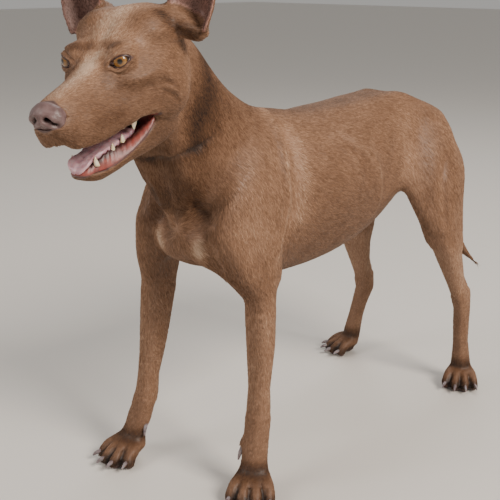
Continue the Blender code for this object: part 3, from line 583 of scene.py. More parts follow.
# Soft ridges and grooves of one side, mirrored to the other: line, height, width. The frame stands on the floor
# under the middle of the trunk, with x outwards.
BODY_LINES = (
    # Last rib.
    (((0.048, -0.041, 0.46), (0.067, -0.013, 0.441), (0.076, 0.018, 0.413), (0.078, 0.028, 0.39),
      (0.073, 0.035, 0.352), (0.061, 0.035, 0.321)), 0.0034, 0.006),
    # Rib before it.
    (((0.05, -0.056, 0.457), (0.07, -0.034, 0.43), (0.077, -0.021, 0.41), (0.08, -0.01, 0.375)), 0.0028, 0.0045),
    # Hollow between them.
    (((0.05, -0.046, 0.456), (0.07, -0.022, 0.43), (0.078, -0.004, 0.405), (0.08, 0.004, 0.37)), -0.0026, 0.005),
    # Further rib.
    (((0.055, -0.088, 0.45), (0.073, -0.065, 0.42), (0.08, -0.052, 0.385), (0.078, -0.045, 0.35)), 0.0018, 0.006),
    # Further rib.
    (((0.055, -0.115, 0.44), (0.073, -0.098, 0.41), (0.08, -0.086, 0.375), (0.078, -0.078, 0.34)), 0.0007, 0.0065),
    # Hollow of the flank.
    (((0.06, 0.02, 0.45), (0.078, 0.047, 0.42), (0.08, 0.06, 0.39), (0.074, 0.068, 0.35)), -0.005, 0.018),
    # Fold before the thigh.
    (((0.059, 0.095, 0.44), (0.069, 0.078, 0.408), (0.072, 0.07, 0.378)), -0.0022, 0.009),
    # Shoulder's back edge.
    (((0.031, -0.151, 0.493), (0.046, -0.149, 0.473), (0.061, -0.146, 0.444),
      (0.071, -0.148, 0.408), (0.073, -0.15, 0.37), (0.077, -0.162, 0.342), (0.081, -0.174, 0.311)), 0.0036, 0.007),
    # Hollow behind the shoulder.
    (((0.04, -0.134, 0.47), (0.058, -0.129, 0.44), (0.069, -0.131, 0.405), (0.072, -0.133, 0.368),
      (0.075, -0.145, 0.338)), -0.0045, 0.0095),
    # Groove beside the breast.
    (BREAST_GROOVE, -0.005, 0.013),
    # Groove between breast and foreleg.
    (((0.05, -0.268, 0.352), (0.052, -0.255, 0.325), (0.057, -0.238, 0.296)), -0.0045, 0.0085),
    # Groove behind the thigh's muscle.
    (((0.082, 0.183, 0.403), (0.093, 0.165, 0.357), (0.098, 0.168, 0.318), (0.092, 0.172, 0.285)), -0.0034, 0.007),
    # Thigh's muscle.
    (((0.07, 0.168, 0.42), (0.086, 0.15, 0.37), (0.092, 0.148, 0.325)), 0.0014, 0.011),
    # Hip's crest.
    (((0.03, 0.129, 0.484), (0.035, 0.152, 0.479), (0.052, 0.167, 0.463), (0.061, 0.183, 0.447)), 0.002, 0.008),
)
BODY_MOUNDS = (
    # Hip bone.
    ((0.03, 0.129, 0.484), 0.003, 0.018),
    # Knob of the breast.
    ((0.03, -0.264, 0.338), 0.0042, 0.012),
    # Hollow over it.
    ((0.032, -0.262, 0.376), -0.005, 0.01),
    # Loin.
    ((0.018, 0.02, 0.478), -0.0015, 0.03),
)
MIDDLE_LINES = (
    # Keel of the breast.
    (((-0.006, -0.305, 0.44), (-0.004, -0.292, 0.41), (0.0, -0.28, 0.383), (0.004, -0.268, 0.352)), 0.0052, 0.009),
    # Crease of the throat.
    (((-0.01, -0.307, 0.446), (0.023, -0.308, 0.452), (0.051, -0.3, 0.459), (0.054, -0.275, 0.464),
      (0.055, -0.266, 0.469)), -0.0032, 0.0058),
    # Its upper end.
    (((0.054, -0.278, 0.463), (0.056, -0.26, 0.474), (0.056, -0.242, 0.49), (0.05, -0.231, 0.51),
      (0.045, -0.23, 0.524)), -0.0022, 0.0065),
    # Fold over it.
    (((-0.01, -0.306, 0.46), (0.023, -0.309, 0.466), (0.049, -0.304, 0.472), (0.054, -0.288, 0.477)), 0.0018, 0.009),
    # Hollow beside the keel.
    (((0.044, -0.262, 0.38), (0.041, -0.258, 0.374)), -0.003, 0.008),
)
# The same for the head, in its own frame.
HEAD_LINES = (
    # Fold before the ear.
    (((0.0568, 0.0553, 0.0269), (0.0625, 0.0574, 0.0236), (0.0697, 0.0609, 0.0191)), 0.002, 0.003),
    # Groove before that fold.
    (((0.055, 0.05, 0.02), (0.0615, 0.0565, 0.0155), (0.069, 0.064, 0.0125)), -0.0022, 0.0032),
    # Brow.
    (((0.014, -0.012, 0.013), (0.023, -0.012, 0.0155), (0.033, -0.0085, 0.015), (0.041, 0.002, 0.009)), 0.0011, 0.0065),
    # Cheek bone.
    (((0.03, -0.033, -0.02), (0.041, -0.008, -0.02), (0.052, 0.02, -0.017), (0.056, 0.045, -0.012)), 0.0016, 0.008),
    # Dent of the cheek.
    (((0.046, 0.0026, -0.027), (0.0505, 0.012, -0.029)), -0.001, 0.0022),
    # Wrinkle of the cheek.
    (UPPER_WRINKLE, -0.0018, 0.0026),
    # Next wrinkle.
    (LOWER_WRINKLE, -0.002, 0.0026),
    # Fold between them.
    (((0.056, 0.033, -0.031), (0.06, 0.04, -0.037), (0.06, 0.045, -0.043)), 0.0012, 0.003),
    # Side of the forehead's furrow.
    (((0.01, -0.03, 0.001), (0.012, -0.01, 0.008), (0.01, 0.01, 0.02), (0.014, 0.03, 0.033)), 0.001, 0.006),
    # Side of the muzzle.
    (((0.017, -0.07, -0.048), (0.025, -0.045, -0.05), (0.032, -0.015, -0.046)), 0.0012, 0.009),
    # Fold behind the mouth's corner.
    (((0.04, 0.012, -0.048), (0.045, 0.026, -0.052), (0.044, 0.034, -0.062)), 0.0016, 0.004),
)
HEAD_MOUNDS = (
    # Inner end of the brow.
    ((0.0115, -0.004, 0.0125), -0.0018, 0.005),
    # Hollow under the eye.
    ((0.033, -0.016, -0.026), -0.0012, 0.008),
    # Temple.
    ((0.05, 0.025, 0.005), -0.0015, 0.012),
    # Chin.
    ((0.006, -0.036, -0.112), 0.0034, 0.014),
    # Jaw behind the chin.
    ((0.01, -0.018, -0.108), 0.0024, 0.014),
    # Gap under the nose.
    ((0.004, -0.1015, -0.061), -0.0032, 0.0065),
    # Pad of the upper lip.
    ((0.004, -0.089, -0.065), 0.0042, 0.006),
    # Next pad.
    ((0.012, -0.078, -0.069), 0.0022, 0.008),
)
HEAD_MIDDLE_LINES = (
    # Forehead's furrow.
    (((0.0, -0.025, 0.001), (0.0, -0.005, 0.011), (0.0, 0.015, 0.026), (0.0, 0.035, 0.04)), -0.0016, 0.005),
    # Groove under the nose.
    (((0.0, -0.1, -0.049), (0.0, -0.096, -0.06), (0.0, -0.088, -0.071)), -0.0014, 0.0016),
)
# Folds of the lids: whether it is the upper lid's, height, distance as a share of the opening's, width.
LID_FOLDS = ((True, 0.0011, 1.45, 0.28), (True, -0.0010, 2.05, 0.22),
             (False, 0.0005, 1.40, 0.22), (False, -0.0007, 1.95, 0.20))
# Creases at the corners of an eye: x towards the nose and y up, from the middle of its opening. The bare skin laid
# along them is dark, partly pigment and partly painted shade in the crease.
EYE_CREASES = (((0.0085, -0.0018), (0.0125, -0.0045)), ((-0.0088, 0.0017), (-0.0165, 0.0030)))


@dataclass
class Skin:
    """The one skin over all the flesh, with its folds, lids and lips."""

    head: HeadFrame
    voxel: float = 0.0018
    grown_over_cuts: float = 0.0003
    grown_into_lids: float = 0.0012
    coat_depth: float = 0.0012
    triangles: int = 68_000
    slack_side: float = 0.65
    lid_thickness: float = 0.0012
    toe_groove: float = 0.0040
    toe_groove_width: float = 0.0030
    tail_hair: float = 0.0052
    surface: Surface = None
    part: np.ndarray = None
    mouth: np.ndarray = None
    hair: np.ndarray = None
    flow: np.ndarray = None
    between_toes: np.ndarray = None
    values: dict = field(default_factory=dict)

    def build(self) -> Object:
        """Makes the skin from copies of the solids of flesh.

        Returns:
            The finished object.
        """
        made = self.melted_copies()
        self.surface = Surface.of(made)
        self.part = self.nearest_part(self.surface.points)
        self.soften_parts()
        self.thin_out(made)
        self.refine_face()
        self.refine_body()
        self.shape_body()
        self.shape_head()
        self.shape_feet()
        self.surface.swell(-self.coat_depth * (1 - 0.5 * self.fine_parts()))
        self.write(made)
        smooth_shaded(made)
        self.paint(made)
        return made

    def thin_out(self, made: Object) -> None:
        """Brings the surface down to fewer triangles before it is shaped.

        Args:
            made: the object that carries it.
        """
        self.write(made)
        thin = made.modifiers.new("thin", "DECIMATE")
        thin.ratio = min(1.0, self.triangles / len(self.surface.faces))
        apply_modifiers(made)
        self.surface = Surface.of(made)
        self.part = self.nearest_part(self.surface.points)
        LOG.info("skin: %d points before it is shaped", len(self.surface.points))

    def melted_copies(self) -> Object:
        """Copies of the solids, grown over the cuts between them and melted into one.

        Returns:
            The object, with the sockets of the eyes filled.
        """
        shell = bmesh.new()
        for name in FLESH + ["eye_left", "eye_right"]:
            piece = bmesh.new()
            piece.from_mesh(frame["nodes"][name].data)
            bmesh.ops.remove_doubles(piece, verts=piece.verts[:], dist=1e-6)
            piece.normal_update()
            for vertex in piece.verts:
                vertex.co += vertex.normal * (self.grown_into_lids if name.startswith("eye") else self.grown_over_cuts)
            grown = bpy.data.meshes.new("grown")
            piece.to_mesh(grown)
            piece.free()
            if name in ("head", "jaw"):
                grown = self.opened_mouth(grown)
            shell.from_mesh(grown)
            bpy.data.meshes.remove(grown)
        mesh = bpy.data.meshes.new("skin")
        shell.to_mesh(mesh)
        shell.free()
        made = linked("skin", mesh)
        melt(made, self.voxel)
        return made

    def opened_mouth(self, mesh: Mesh) -> Mesh:
        """Cuts the space between the lips, and the hollow of the mouth, out of the head or the jaw.

        Args:
            mesh: a copy of the solid.

        Returns:
            The cut mesh.
        """
        made = linked("host", mesh)
        mouth = Mouth(self.head)
        for cutter in (mouth.between_lips(), mouth.hollow()):
            cut = made.modifiers.new("mouth", "BOOLEAN")
            cut.operation = "DIFFERENCE"
            cut.object = cutter
            apply_modifiers(made)
            bpy.data.objects.remove(cutter)
        found = made.data.copy()
        bpy.data.objects.remove(made)
        return found

    def nearest_part(self, points: np.ndarray) -> np.ndarray:
        """For each point, the number in FLESH of the solid nearest to it.

        Args:
            points: N points.

        Returns:
            N numbers.
        """
        corners, triangles, owner = [], [], []
        for number, name in enumerate(FLESH):
            copy = Surface.of(frame["nodes"][name])
            triangles.extend((copy.faces + len(corners)).tolist())
            corners.extend(copy.points.tolist())
            owner.extend([number] * len(copy.faces))
        tree = BVHTree.FromPolygons(corners, triangles)
        return np.array([owner[tree.find_nearest(point)[2]] for point in points.tolist()])

    def member(self, *names: str) -> np.ndarray:
        """1 at the points that belong to solids whose names start so, else 0."""
        numbers = [i for i, name in enumerate(FLESH) if name.startswith(names)]
        return np.isin(self.part, numbers).astype(float)

    def soften_parts(self) -> None:
        """Rounds the facets off: most on the trunk, least on the ears, head and feet."""
        coarse = self.surface.blurred(self.member("trunk", "neck", "upper_foreleg", "thigh"), 12)
        limbs = self.surface.blurred(self.member("lower", "tail"), 6)
        self.surface.soften(10, 0.5)
        self.surface.soften(16, 0.5 * np.clip(coarse + limbs, 0, 1))
        self.surface.soften(60, 0.5 * coarse)
        self.surface.soften(50, 0.5 * self.over_cuts())
        height = self.surface.points[:, 2]
        instep = self.member("forepaw") * smoothstep(height, 0.024, 0.032) * (1 - smoothstep(height, 0.052, 0.066))
        self.surface.soften(50, 0.5 * self.surface.blurred(instep, 2))

    def over_cuts(self) -> np.ndarray:
        """Where two solids met, apart from the face, whose form is fine.

        Returns:
            1 at the cuts, falling to 0 a few millimetres away.
        """
        found = np.zeros(len(self.part))
        for names in (("head", "jaw"), ("ear",), ("neck",), ("forepaw",), ("hindpaw",), ("upper_foreleg",), ("thigh",),
                      ("lower_foreleg",), ("lower_hindleg",), ("tail",)):
            share = self.surface.blurred(self.member(*names), 5)
            found = np.maximum(found, 1 - smoothstep(np.abs(share - 0.5), 0.25, 0.5))
        face = self.head.into(self.surface.points)[:, 1] < 0.020
        return self.surface.blurred(found * ~face, 3)

    def fine_parts(self) -> np.ndarray:
        """1 on the head, ears and feet, where the coat is shortest, falling to 0 on the body."""
        return self.surface.blurred(self.member("head", "jaw", "ear", "forepaw", "hindpaw"), 10)

    def divide(self, chosen: np.ndarray) -> None:
        """Splits the chosen points' triangles, and keeps each new point's part."""
        self.part = self.part[self.surface.split(chosen)]

    def refine_face(self) -> None:
        """Splits the triangles of the head, and again round the eyes and toes, so that lids and folds have room."""
        self.divide(self.surface.blurred(self.member("head", "jaw"), 2) > 0.01)
        for ahead, reach in ((0.0, 0.019), (0.008, 0.0125)):
            local = self.head.into(self.surface.points)
            gaps = [np.linalg.norm(local - Eyes.place(sign) - ahead * Eyes.axes(sign)[0], axis=1) for sign in SIGNS]
            self.divide(np.min(gaps, axis=0) < reach)
        self.surface.soften(3, 0.4 * (self.surface.blurred(self.member("head", "jaw"), 3) > 0.5))
        for reach in (0.0080, 0.0055):
            gaps = [to_line(self.surface.points, curve_points(line, 4))[0] for line in self.toe_gaps()]
            self.divide((np.min(gaps, axis=0) < reach) & (self.surface.points[:, 2] > 0.004))

    def refine_body(self) -> None:
        """Splits the triangles under the ridges and grooves of the body, the narrow ones twice."""
        for share, widest in ((2.4, 1.0), (1.3, 0.0072)):
            near = np.zeros(len(self.surface.points), bool)
            for sign, lines in ((1, BODY_LINES), (-1, BODY_LINES), (1, MIDDLE_LINES)):
                local = (self.surface.points - under_trunk()) * (sign, 1, 1)
                for line, _height, wide in lines:
                    if wide < widest:
                        near |= to_line(local, curve_points(line, 4))[0] < max(share * min(wide, 0.010), 0.008)
            self.divide(near)
        self.surface.soften(12, 0.5 * self.surface.blurred(self.member("trunk", "neck"), 3))

    def ridge(self, local: np.ndarray, line: tuple, height: float, width: float, taper: bool = True) -> np.ndarray:
        """Heights of a soft ridge, or of a groove where height is below 0.

        Args:
            local: the skin's points, in the frame that the line is in.
            line: points of the ridge's crest, which are laid on the skin first.
            height: at the crest, in metres.
            width: distance at which it has fallen to a third.
            taper: whether it fades out towards its ends.

        Returns:
            One height for each point.
        """
        line = curve_points(line, 4)
        for k, place in enumerate(line):
            gaps = np.linalg.norm(local - place, axis=1)
            near = local[np.argpartition(gaps, 12)[:12]]
            middle = near.mean(0)
            out = np.linalg.svd(near - middle)[2][2]
            line[k] += out * ((middle - place) @ out)
        gap, along = to_line(local, line)
        fade = np.clip(np.minimum(along, 1 - along) * 5, 0, 1) if taper else 1.0
        return height * bell(gap, width) * fade

    def mound(self, local: np.ndarray, place: tuple, height: float, radius: float) -> np.ndarray:
        """Heights of a round soft mound, or of a hollow where height is below 0."""
        return height * bell(np.linalg.norm(local - np.array(place), axis=1), radius)

    def shape_body(self) -> None:
        """Ribs, shoulder, breast, throat, flank and thigh, softer on the right, where the skin is slack."""
        height = np.zeros(len(self.surface.points))
        for sign in SIGNS:
            local = (self.surface.points - under_trunk()) * (sign, 1, 1)
            for line, high, wide in BODY_LINES:
                height += self.ridge(local, line, high if sign > 0 else self.slack_side * high, wide)
            for place, high, radius in BODY_MOUNDS:
                height += self.mound(local, place, high, radius)
        local = self.surface.points - under_trunk()
        for line, high, wide in MIDDLE_LINES:
            height += self.ridge(local, line, high, wide)
        self.surface.swell(height)
        self.surface.soften(2, 0.5 * self.surface.blurred(self.member("trunk"), 3))

    def shape_head(self) -> None:
        """Brow, cheek, muzzle, wrinkles and lids."""
        local = self.head.into(self.surface.points)
        height = np.zeros(len(local))
        for sign in SIGNS:
            side = local * (sign, 1, 1)
            for line, high, wide in HEAD_LINES:
                height += self.ridge(side, line, high, wide)
            for place, high, radius in HEAD_MOUNDS:
                height += self.mound(side, place, high, radius)
        for line, high, wide in HEAD_MIDDLE_LINES:
            height += self.ridge(local, line, high, wide)
        self.surface.swell(height)
        for sign in SIGNS:
            self.shape_lids(sign)

    def shape_lids(self, sign: int) -> None:
        """Lays the lids on the eyeball, and lets the skin dive behind it within their opening.

        The skin round the eye gives the form of the socket, and the lids rise from the ball's surface to meet it.

        Args:
            sign: of the side.
        """
        gaze, across, up = Eyes.axes(sign)
        local = self.head.into(self.surface.points) - Eyes.place(sign)
        x, y, deep = local @ across, local @ up, local @ gaze
        far = np.hypot(x, y)
        front = (far < 0.020) & (deep > -0.004)
        share = Eyes.opening_share(x, y)
        ring = front & (far > 0.0095) & (far < 0.0155)
        terms = np.stack([np.ones_like(x), x, y, x * x, x * y, y * y], axis=1)
        socket = terms @ np.linalg.lstsq(terms[ring], deep[ring], rcond=None)[0]
        socket = np.minimum(socket, Eyes.radius + 0.0004)
        hold = 1 - smoothstep(far, 0.0095, 0.0150)
        around = deep * (1 - hold) + socket * hold
        flat = np.minimum(far, Eyes.widest * Eyes.radius)
        ball = np.sqrt(Eyes.radius**2 - flat**2)
        edge = np.sqrt((Eyes.radius + self.lid_thickness) ** 2 - flat**2)
        above = smoothstep(y - Eyes.slant * x, -0.002, 0.003)
        rise = smoothstep(share, 1.0, 1.75 + 0.15 * above)
        lid = edge * (1 - rise) + around * rise
        for upper, height, place, wide in LID_FOLDS:
            lid += height * (above if upper else 1 - above) * bell(share - place, wide)
        lid += 0.0007 * bell(x - 0.0130, 0.0045) * bell(y + 0.0010, 0.0050)
        target = np.where(share < 1.0, np.minimum(ball - 0.0030, edge), lid)
        moved = np.where(front, (target - deep) * (1 - smoothstep(far, 0.0165, 0.0200)), 0)
        self.surface.points += (moved[:, None] * gaze) @ self.head.matrix.T

    def toe_gaps(self) -> list[np.ndarray]:
        """The line that runs up each gap between two toes.

        Returns:
            One row of points for each gap, in the dog's own frame.
        """
        found = []
        for side in Side:
            for kind, size in (("fore", 0.97), ("hind", 0.88)):
                claws = np.array([centre_of(f"claw_{kind}_{side.name}_{number}")[:] for number in range(1, 5)])
                row = claws[3] - claws[0]
                ahead = np.array((row[1], -row[0], 0.0)) / np.hypot(row[0], row[1])
                ahead *= -math.copysign(1.0, ahead[1])
                heel = claws.mean(0) - ahead * 0.052 * size
                for one, two in zip(claws[:-1], claws[1:]):
                    tip = (one + two) / 2
                    root = heel + (tip - claws.mean(0)) * 0.45
                    line = np.array([tip - ahead * 0.003, tip - ahead * 0.008, tip * 0.62 + root * 0.38,
                                     tip * 0.30 + root * 0.70, root])
                    line[:, 2] = np.array((0.005, 0.015, 0.027, 0.034, 0.036)) * size
                    found.append(line)
        return found

    def shape_feet(self) -> None:
        """Grooves between the toes, and the thicker hair of the tail."""
        feet = self.member("forepaw", "hindpaw")
        self.between_toes = np.zeros(len(self.surface.points))
        for line in self.toe_gaps():
            gap = -self.ridge(self.surface.points, line, -1.0, self.toe_groove_width, False)
            start = to_line(self.surface.points, curve_points(line, 4))[1]
            self.between_toes = np.maximum(self.between_toes, gap * (1 - smoothstep(start, 0.38, 0.68)) * feet)
        self.surface.swell(-self.toe_groove * self.between_toes)
        tail = self.surface.blurred(self.member("tail"), 6)
        low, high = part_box("tail")
        along = (self.surface.points[:, 2] - low[2]) / (high[2] - low[2])
        thick = smoothstep(along, 0.02, 0.28) * (1 - 0.7 * smoothstep(along, 0.45, 0.8))
        self.surface.swell(self.tail_hair * tail * thick)

    def write(self, made: Object) -> None:
        """Gives an object the surface as its mesh."""
        made.data = mesh_of("skin", self.surface.points, self.surface.faces)

    def in_mouth(self) -> np.ndarray:
        """Where the lining of the mouth and the lips' cut edges are.

        Returns:
            1 there, else 0.
        """
        local = self.head.into(self.surface.points)
        rows = curve_points(Mouth.rows, 4)
        wide, top, low = (np.interp(local[:, 1], rows[:, 0], rows[:, k]) for k in (1, 2, 3))
        across, rise = local[:, 0] / wide, (local[:, 2] - (top + low) / 2) / ((top - low) / 2)
        within = np.abs(across) ** 2.8 + np.abs(rise) ** 2.8 < 1.35
        within &= (local[:, 1] > -0.068) & (local[:, 1] < 0.038)
        upper = np.interp(local[:, 1], *np.array(UPPER_LIP).T)
        lower = np.interp(local[:, 1], *np.array(LOWER_LIP)[::-1].T)
        gape = (local[:, 1] < 0.0262) & (local[:, 1] > -0.075)
        gape &= (local[:, 2] < upper + 0.0006) & (local[:, 2] > lower - 0.0006)
        return ((within | gape) & (self.member("head", "jaw") > 0)).astype(float)

    def lie(self) -> np.ndarray:
        """The way the hair lies, along the surface: back over the head, up the ears, out from the breast's whorl.

        Returns:
            A unit row for each point.
        """
        found = np.zeros_like(self.surface.points)
        for start, way in LIE.items():
            found[self.member(start) > 0] = np.array(way) / np.linalg.norm(way)
        local = self.head.into(self.surface.points)
        steep = -0.15 - 4.0 * np.maximum(-0.02 - local[:, 2], 0)
        steep += 0.5 * smoothstep(local[:, 2], -0.005, 0.02) - 0.6 * smoothstep(local[:, 1], 0.0, 0.06)
        way = np.stack([0.9 * local[:, 0] / 0.05, np.ones(len(local)), steep], axis=1)
        chosen = self.member("head", "jaw") > 0
        found[chosen] = (way @ self.head.matrix.T)[chosen]
        for side in Side:
            found[self.member(f"ear_{side.name}") > 0] = (0.25 * side.value, 0.02, 1.0)
        whorl = self.surface.points - under_trunk() - WHORL
        near = bell(np.linalg.norm(whorl, axis=1), 0.035) * self.member("trunk", "neck")
        found += 2 * near[:, None] * whorl / 0.02
        normals = self.surface.normals()
        for _ in range(40):
            found = 0.4 * found + 0.6 * self.surface.spread(found)
            found -= normals * (found * normals).sum(1)[:, None]
            found /= np.linalg.norm(found, axis=1)[:, None] + 1e-9
        return found

    def field(self, values: dict, rounds: int) -> np.ndarray:
        """One value for each kind of part, blurred over the borders between them.

        Args:
            values: for each start of the solids' names, its value.
            rounds: of blurring.

        Returns:
            One value for each point.
        """
        found = np.zeros(len(self.surface.points))
        for start, value in values.items():
            found[self.member(start) > 0] = value
        return self.surface.blurred(found, rounds)

    def tones(self) -> np.ndarray:
        """How much paler or darker than its mean the coat is, which skin and hair share: its markings, and painted
        light and shade on ridges, knobs, hollows and creases.

        Returns:
            One tone for each point, 0 for the mean.
        """
        found = self.field(PART_TONES, 12)
        body = self.member("head", "jaw", "ear") == 0
        for sign in SIGNS:
            local = (self.surface.points - under_trunk()) * (sign, 1, 1)
            for line, amount, wide in BODY_TONES:
                found += self.ridge(local, line, amount, wide, False) * body
            local = self.head.into(self.surface.points) * (sign, 1, 1)
            for line, amount, wide in HEAD_TONES:
                found += self.ridge(local, line, amount, wide, False) * ~body
        # Paws: a dark band low on the paw, which is their marking; painted shade in the grooves between the toes; and a
        # paler band over the knuckles, painted highlight on the toes' tops.
        feet = self.member("forepaw", "hindpaw")
        height = self.surface.points[:, 2]
        dark = 1.25 * (1 - smoothstep(height, 0.038, 0.056)) + 1.1 * self.surface.blurred(self.between_toes, 2)
        knuckles = (1 - smoothstep(height, 0.026, 0.035)) * smoothstep(height, 0.012, 0.022)
        return found - feet * dark + 1.05 * feet * knuckles

    def bare(self) -> np.ndarray:
        """Where the skin shows with no hair: lids, pads, the mouth and the skin round the nose.

        Returns:
            1 there, falling to 0 at its border.
        """
        local = self.head.into(self.surface.points)
        found = self.mouth.copy()
        for sign in SIGNS:
            gaze, across, up = Eyes.axes(sign)
            rel = local - Eyes.place(sign)
            ahead = rel @ gaze > 0
            share = Eyes.opening_share(rel @ across, rel @ up)
            found = np.maximum(found, (share < 1.12 + 0.10 * (rel @ up > 0)) & ahead)
            flat = rel - (rel @ gaze)[:, None] * gaze
            for row in EYE_CREASES:
                places = np.array([x * across + y * up for x, y in row])
                found = np.maximum(found, (to_line(flat, places)[0] < 0.0011) & ahead)
        pads = (self.member("forepaw", "hindpaw") > 0) & (self.surface.points[:, 2] < 0.0055)
        nose = np.linalg.norm(self.surface.points - np.array(centre_of("nose")), axis=1) < 0.0165
        return self.surface.blurred(np.maximum(found, pads | nose), 2)

    def ear_lining(self) -> np.ndarray:
        """Where the hollow front of the ears is.

        Returns:
            1 there, falling to 0 at their edge.
        """
        facing = self.surface.normals() @ (self.head.matrix @ np.array((0.0, -1.0, 0.0)))
        found = smoothstep(facing, -0.1, 0.35) * self.member("ear")
        return self.surface.blurred(found, 4)

    def paint(self, made: Object) -> None:
        """Works out the values that the skin's and the hair's materials share, and gives them to the skin.

        Args:
            made: the skin's object.
        """
        self.mouth = self.in_mouth()
        lining = self.ear_lining()
        bare = self.bare()
        near_mouth = self.surface.blurred(self.mouth, 5)
        self.values = {
            "tone": self.tones(),
            "bare": np.clip(bare + 0.75 * lining, 0, 1),
            "mouth": self.surface.blurred(self.mouth, 1),
            "lip": np.clip(near_mouth * 2.5, 0, 1) * (1 - smoothstep(self.surface.blurred(self.mouth, 3), 0.75, 1.0)),
            "lining": lining,
        }
        self.hair = np.clip(1 - 1.6 * self.values["bare"] - 0.8 * smoothstep(self.values["mouth"], 0.0, 0.4), 0, 1)
        self.hair = np.maximum(self.hair, 0.35 * (lining > 0.3) * (bare < 0.1))
        self.flow = self.lie()
        for name, values in self.values.items():
            write_value(made, name, values)
        write_value(made, "strand", np.full(len(self.surface.points), 0.4))
        write_value(made, "along", np.full(len(self.surface.points), 0.1))


# ---------------- coat

# The way the hair lies on each kind of part, in the dog's own directions: x to its left, y back, z up.
LIE = {"neck": (-0.1, 0.45, -0.9), "trunk": (0.0, 1.0, -0.38), "tail": (0.12, 0.25, -1.0),
       "upper_foreleg": (0.0, 0.42, -1.0), "lower_foreleg": (0.0, 0.1, -1.0), "forepaw": (0.0, -0.8, -0.6),
       "thigh": (0.0, 0.5, -1.0), "lower_hindleg": (0.0, 0.15, -1.0), "hindpaw": (0.0, -0.8, -0.6)}
# The breast's whorl, from which the hair runs outwards, in the body's own frame.
WHORL = (0.008, -0.267, 0.348)
# Length and width of a tuft, in metres, on each kind of part.
LENGTHS = {"head": 0.0046, "jaw": 0.0045, "ear": 0.004, "neck": 0.0082, "trunk": 0.0082, "tail": 0.011,
           "upper_foreleg": 0.0085, "lower_foreleg": 0.0065, "forepaw": 0.0042,
           "thigh": 0.0085, "lower_hindleg": 0.0065, "hindpaw": 0.0042}
WIDTHS = {"head": 0.00062, "jaw": 0.00062, "ear": 0.00055, "neck": 0.00075, "trunk": 0.00082, "tail": 0.0008,
          "upper_foreleg": 0.00085, "lower_foreleg": 0.00075, "forepaw": 0.0006,
          "thigh": 0.00085, "lower_hindleg": 0.00075, "hindpaw": 0.0006}
# Paler above 0, darker below. The lower legs' paleness is painted light, standing in for light thrown up from the
# floor; the neck's darkness is partly its own hair, partly painted shade under the head.
PART_TONES = {"ear": -0.3, "tail": -0.1, "forepaw": 0.25, "hindpaw": 0.3, "lower_foreleg": 0.42,
              "lower_hindleg": 0.55, "thigh": 0.15, "head": 0.0, "jaw": -0.15, "neck": -0.28, "trunk": 0.05,
              "upper_foreleg": 0.12}
BODY_TONES = (
    # Last rib, paler along its ridge: painted highlight.
    (((0.055, -0.034, 0.45), (0.072, -0.006, 0.43), (0.078, 0.022, 0.402), (0.076, 0.034, 0.36),
      (0.063, 0.036, 0.325)), 0.4, 0.0035),
    # Rib before it, paler along its ridge: painted highlight.
    (((0.055, -0.05, 0.452), (0.074, -0.028, 0.422), (0.08, -0.014, 0.388)), 0.3, 0.003),
    # Hollow between them, darker: painted shade.
    (((0.06, -0.04, 0.44), (0.075, -0.014, 0.415), (0.08, 0.008, 0.38)), -0.25, 0.004),
    # Crease of the throat, darker: painted shade in the crease.
    (((-0.01, -0.307, 0.446), (0.023, -0.308, 0.452), (0.051, -0.3, 0.459), (0.054, -0.275, 0.464),
      (0.056, -0.26, 0.474), (0.057, -0.248, 0.481)), -0.55, 0.005),
    # Shadow behind the cheek.
    (((0.042, -0.256, 0.56), (0.05, -0.262, 0.537), (0.056, -0.274, 0.514), (0.057, -0.285, 0.492),
      (0.054, -0.282, 0.472)), -0.95, 0.017),
    # Side of the neck, darker: partly its own darker hair, partly painted shade under the head.
    (((0.056, -0.262, 0.498), (0.058, -0.25, 0.505), (0.056, -0.244, 0.52)), -0.4, 0.02),
    # Side of the keel, darker: painted shade.
    (((-0.008, -0.284, 0.405), (-0.006, -0.278, 0.386)), -0.6, 0.012),
    # Hollow beside the keel, darker: painted shade in the hollow.
    (((0.031, -0.262, 0.377), (0.03, -0.264, 0.388)), -0.6, 0.011),
    # Knob of the breast, paler: painted highlight on the bump.
    (((0.036, -0.261, 0.345), (0.035, -0.262, 0.334)), 1.1, 0.01),
    # Front of the shoulder, paler: painted light on its front.
    (((0.06, -0.225, 0.44), (0.066, -0.215, 0.39), (0.068, -0.21, 0.35)), 0.3, 0.03),
    # Neck over the shoulder.
    (((0.052, -0.23, 0.53), (0.056, -0.215, 0.515), (0.058, -0.205, 0.5)), -0.15, 0.025),
    # Shoulder's back edge, paler along its ridge: painted highlight on the lit rim of the fur.
    (((0.018, -0.152, 0.5), (0.046, -0.15, 0.473), (0.061, -0.146, 0.444), (0.071, -0.148, 0.408),
      (0.073, -0.15, 0.37), (0.077, -0.162, 0.342), (0.081, -0.174, 0.311)), 0.45, 0.004),
    # Pale patch behind the shoulder.
    (((0.052, -0.126, 0.465), (0.068, -0.12, 0.435), (0.075, -0.122, 0.395), (0.075, -0.125, 0.36)), 0.62, 0.015),
    # Groove beside the breast, darker: painted shade in the groove.
    (BREAST_GROOVE, -0.45, 0.018),
    # Keel, paler along its ridge: painted highlight.
    (((0.0, -0.29, 0.41), (0.002, -0.27, 0.352)), 0.2, 0.008),
    # Middle of the knob, paler still: painted highlight.
    (((0.03, -0.264, 0.338), (0.03, -0.262, 0.33)), 0.5, 0.009),
    # Armpit, darker: painted shade.
    (((0.06, -0.235, 0.3), (0.062, -0.225, 0.27)), -0.45, 0.02),
    # Line of the back.
    (((0.0, -0.15, 0.5), (0.0, 0.0, 0.5), (0.0, 0.16, 0.49)), -0.2, 0.025),
    # Belly.
    (((0.0, -0.15, 0.27), (0.0, 0.0, 0.28), (0.0, 0.1, 0.34)), -0.15, 0.045),
    # Side of the loin.
    (((0.052, 0.12, 0.455), (0.072, 0.115, 0.415), (0.078, 0.11, 0.37)), 0.3, 0.024),
    # Thigh.
    (((0.085, 0.19, 0.4), (0.092, 0.2, 0.33)), -0.15, 0.02),
)
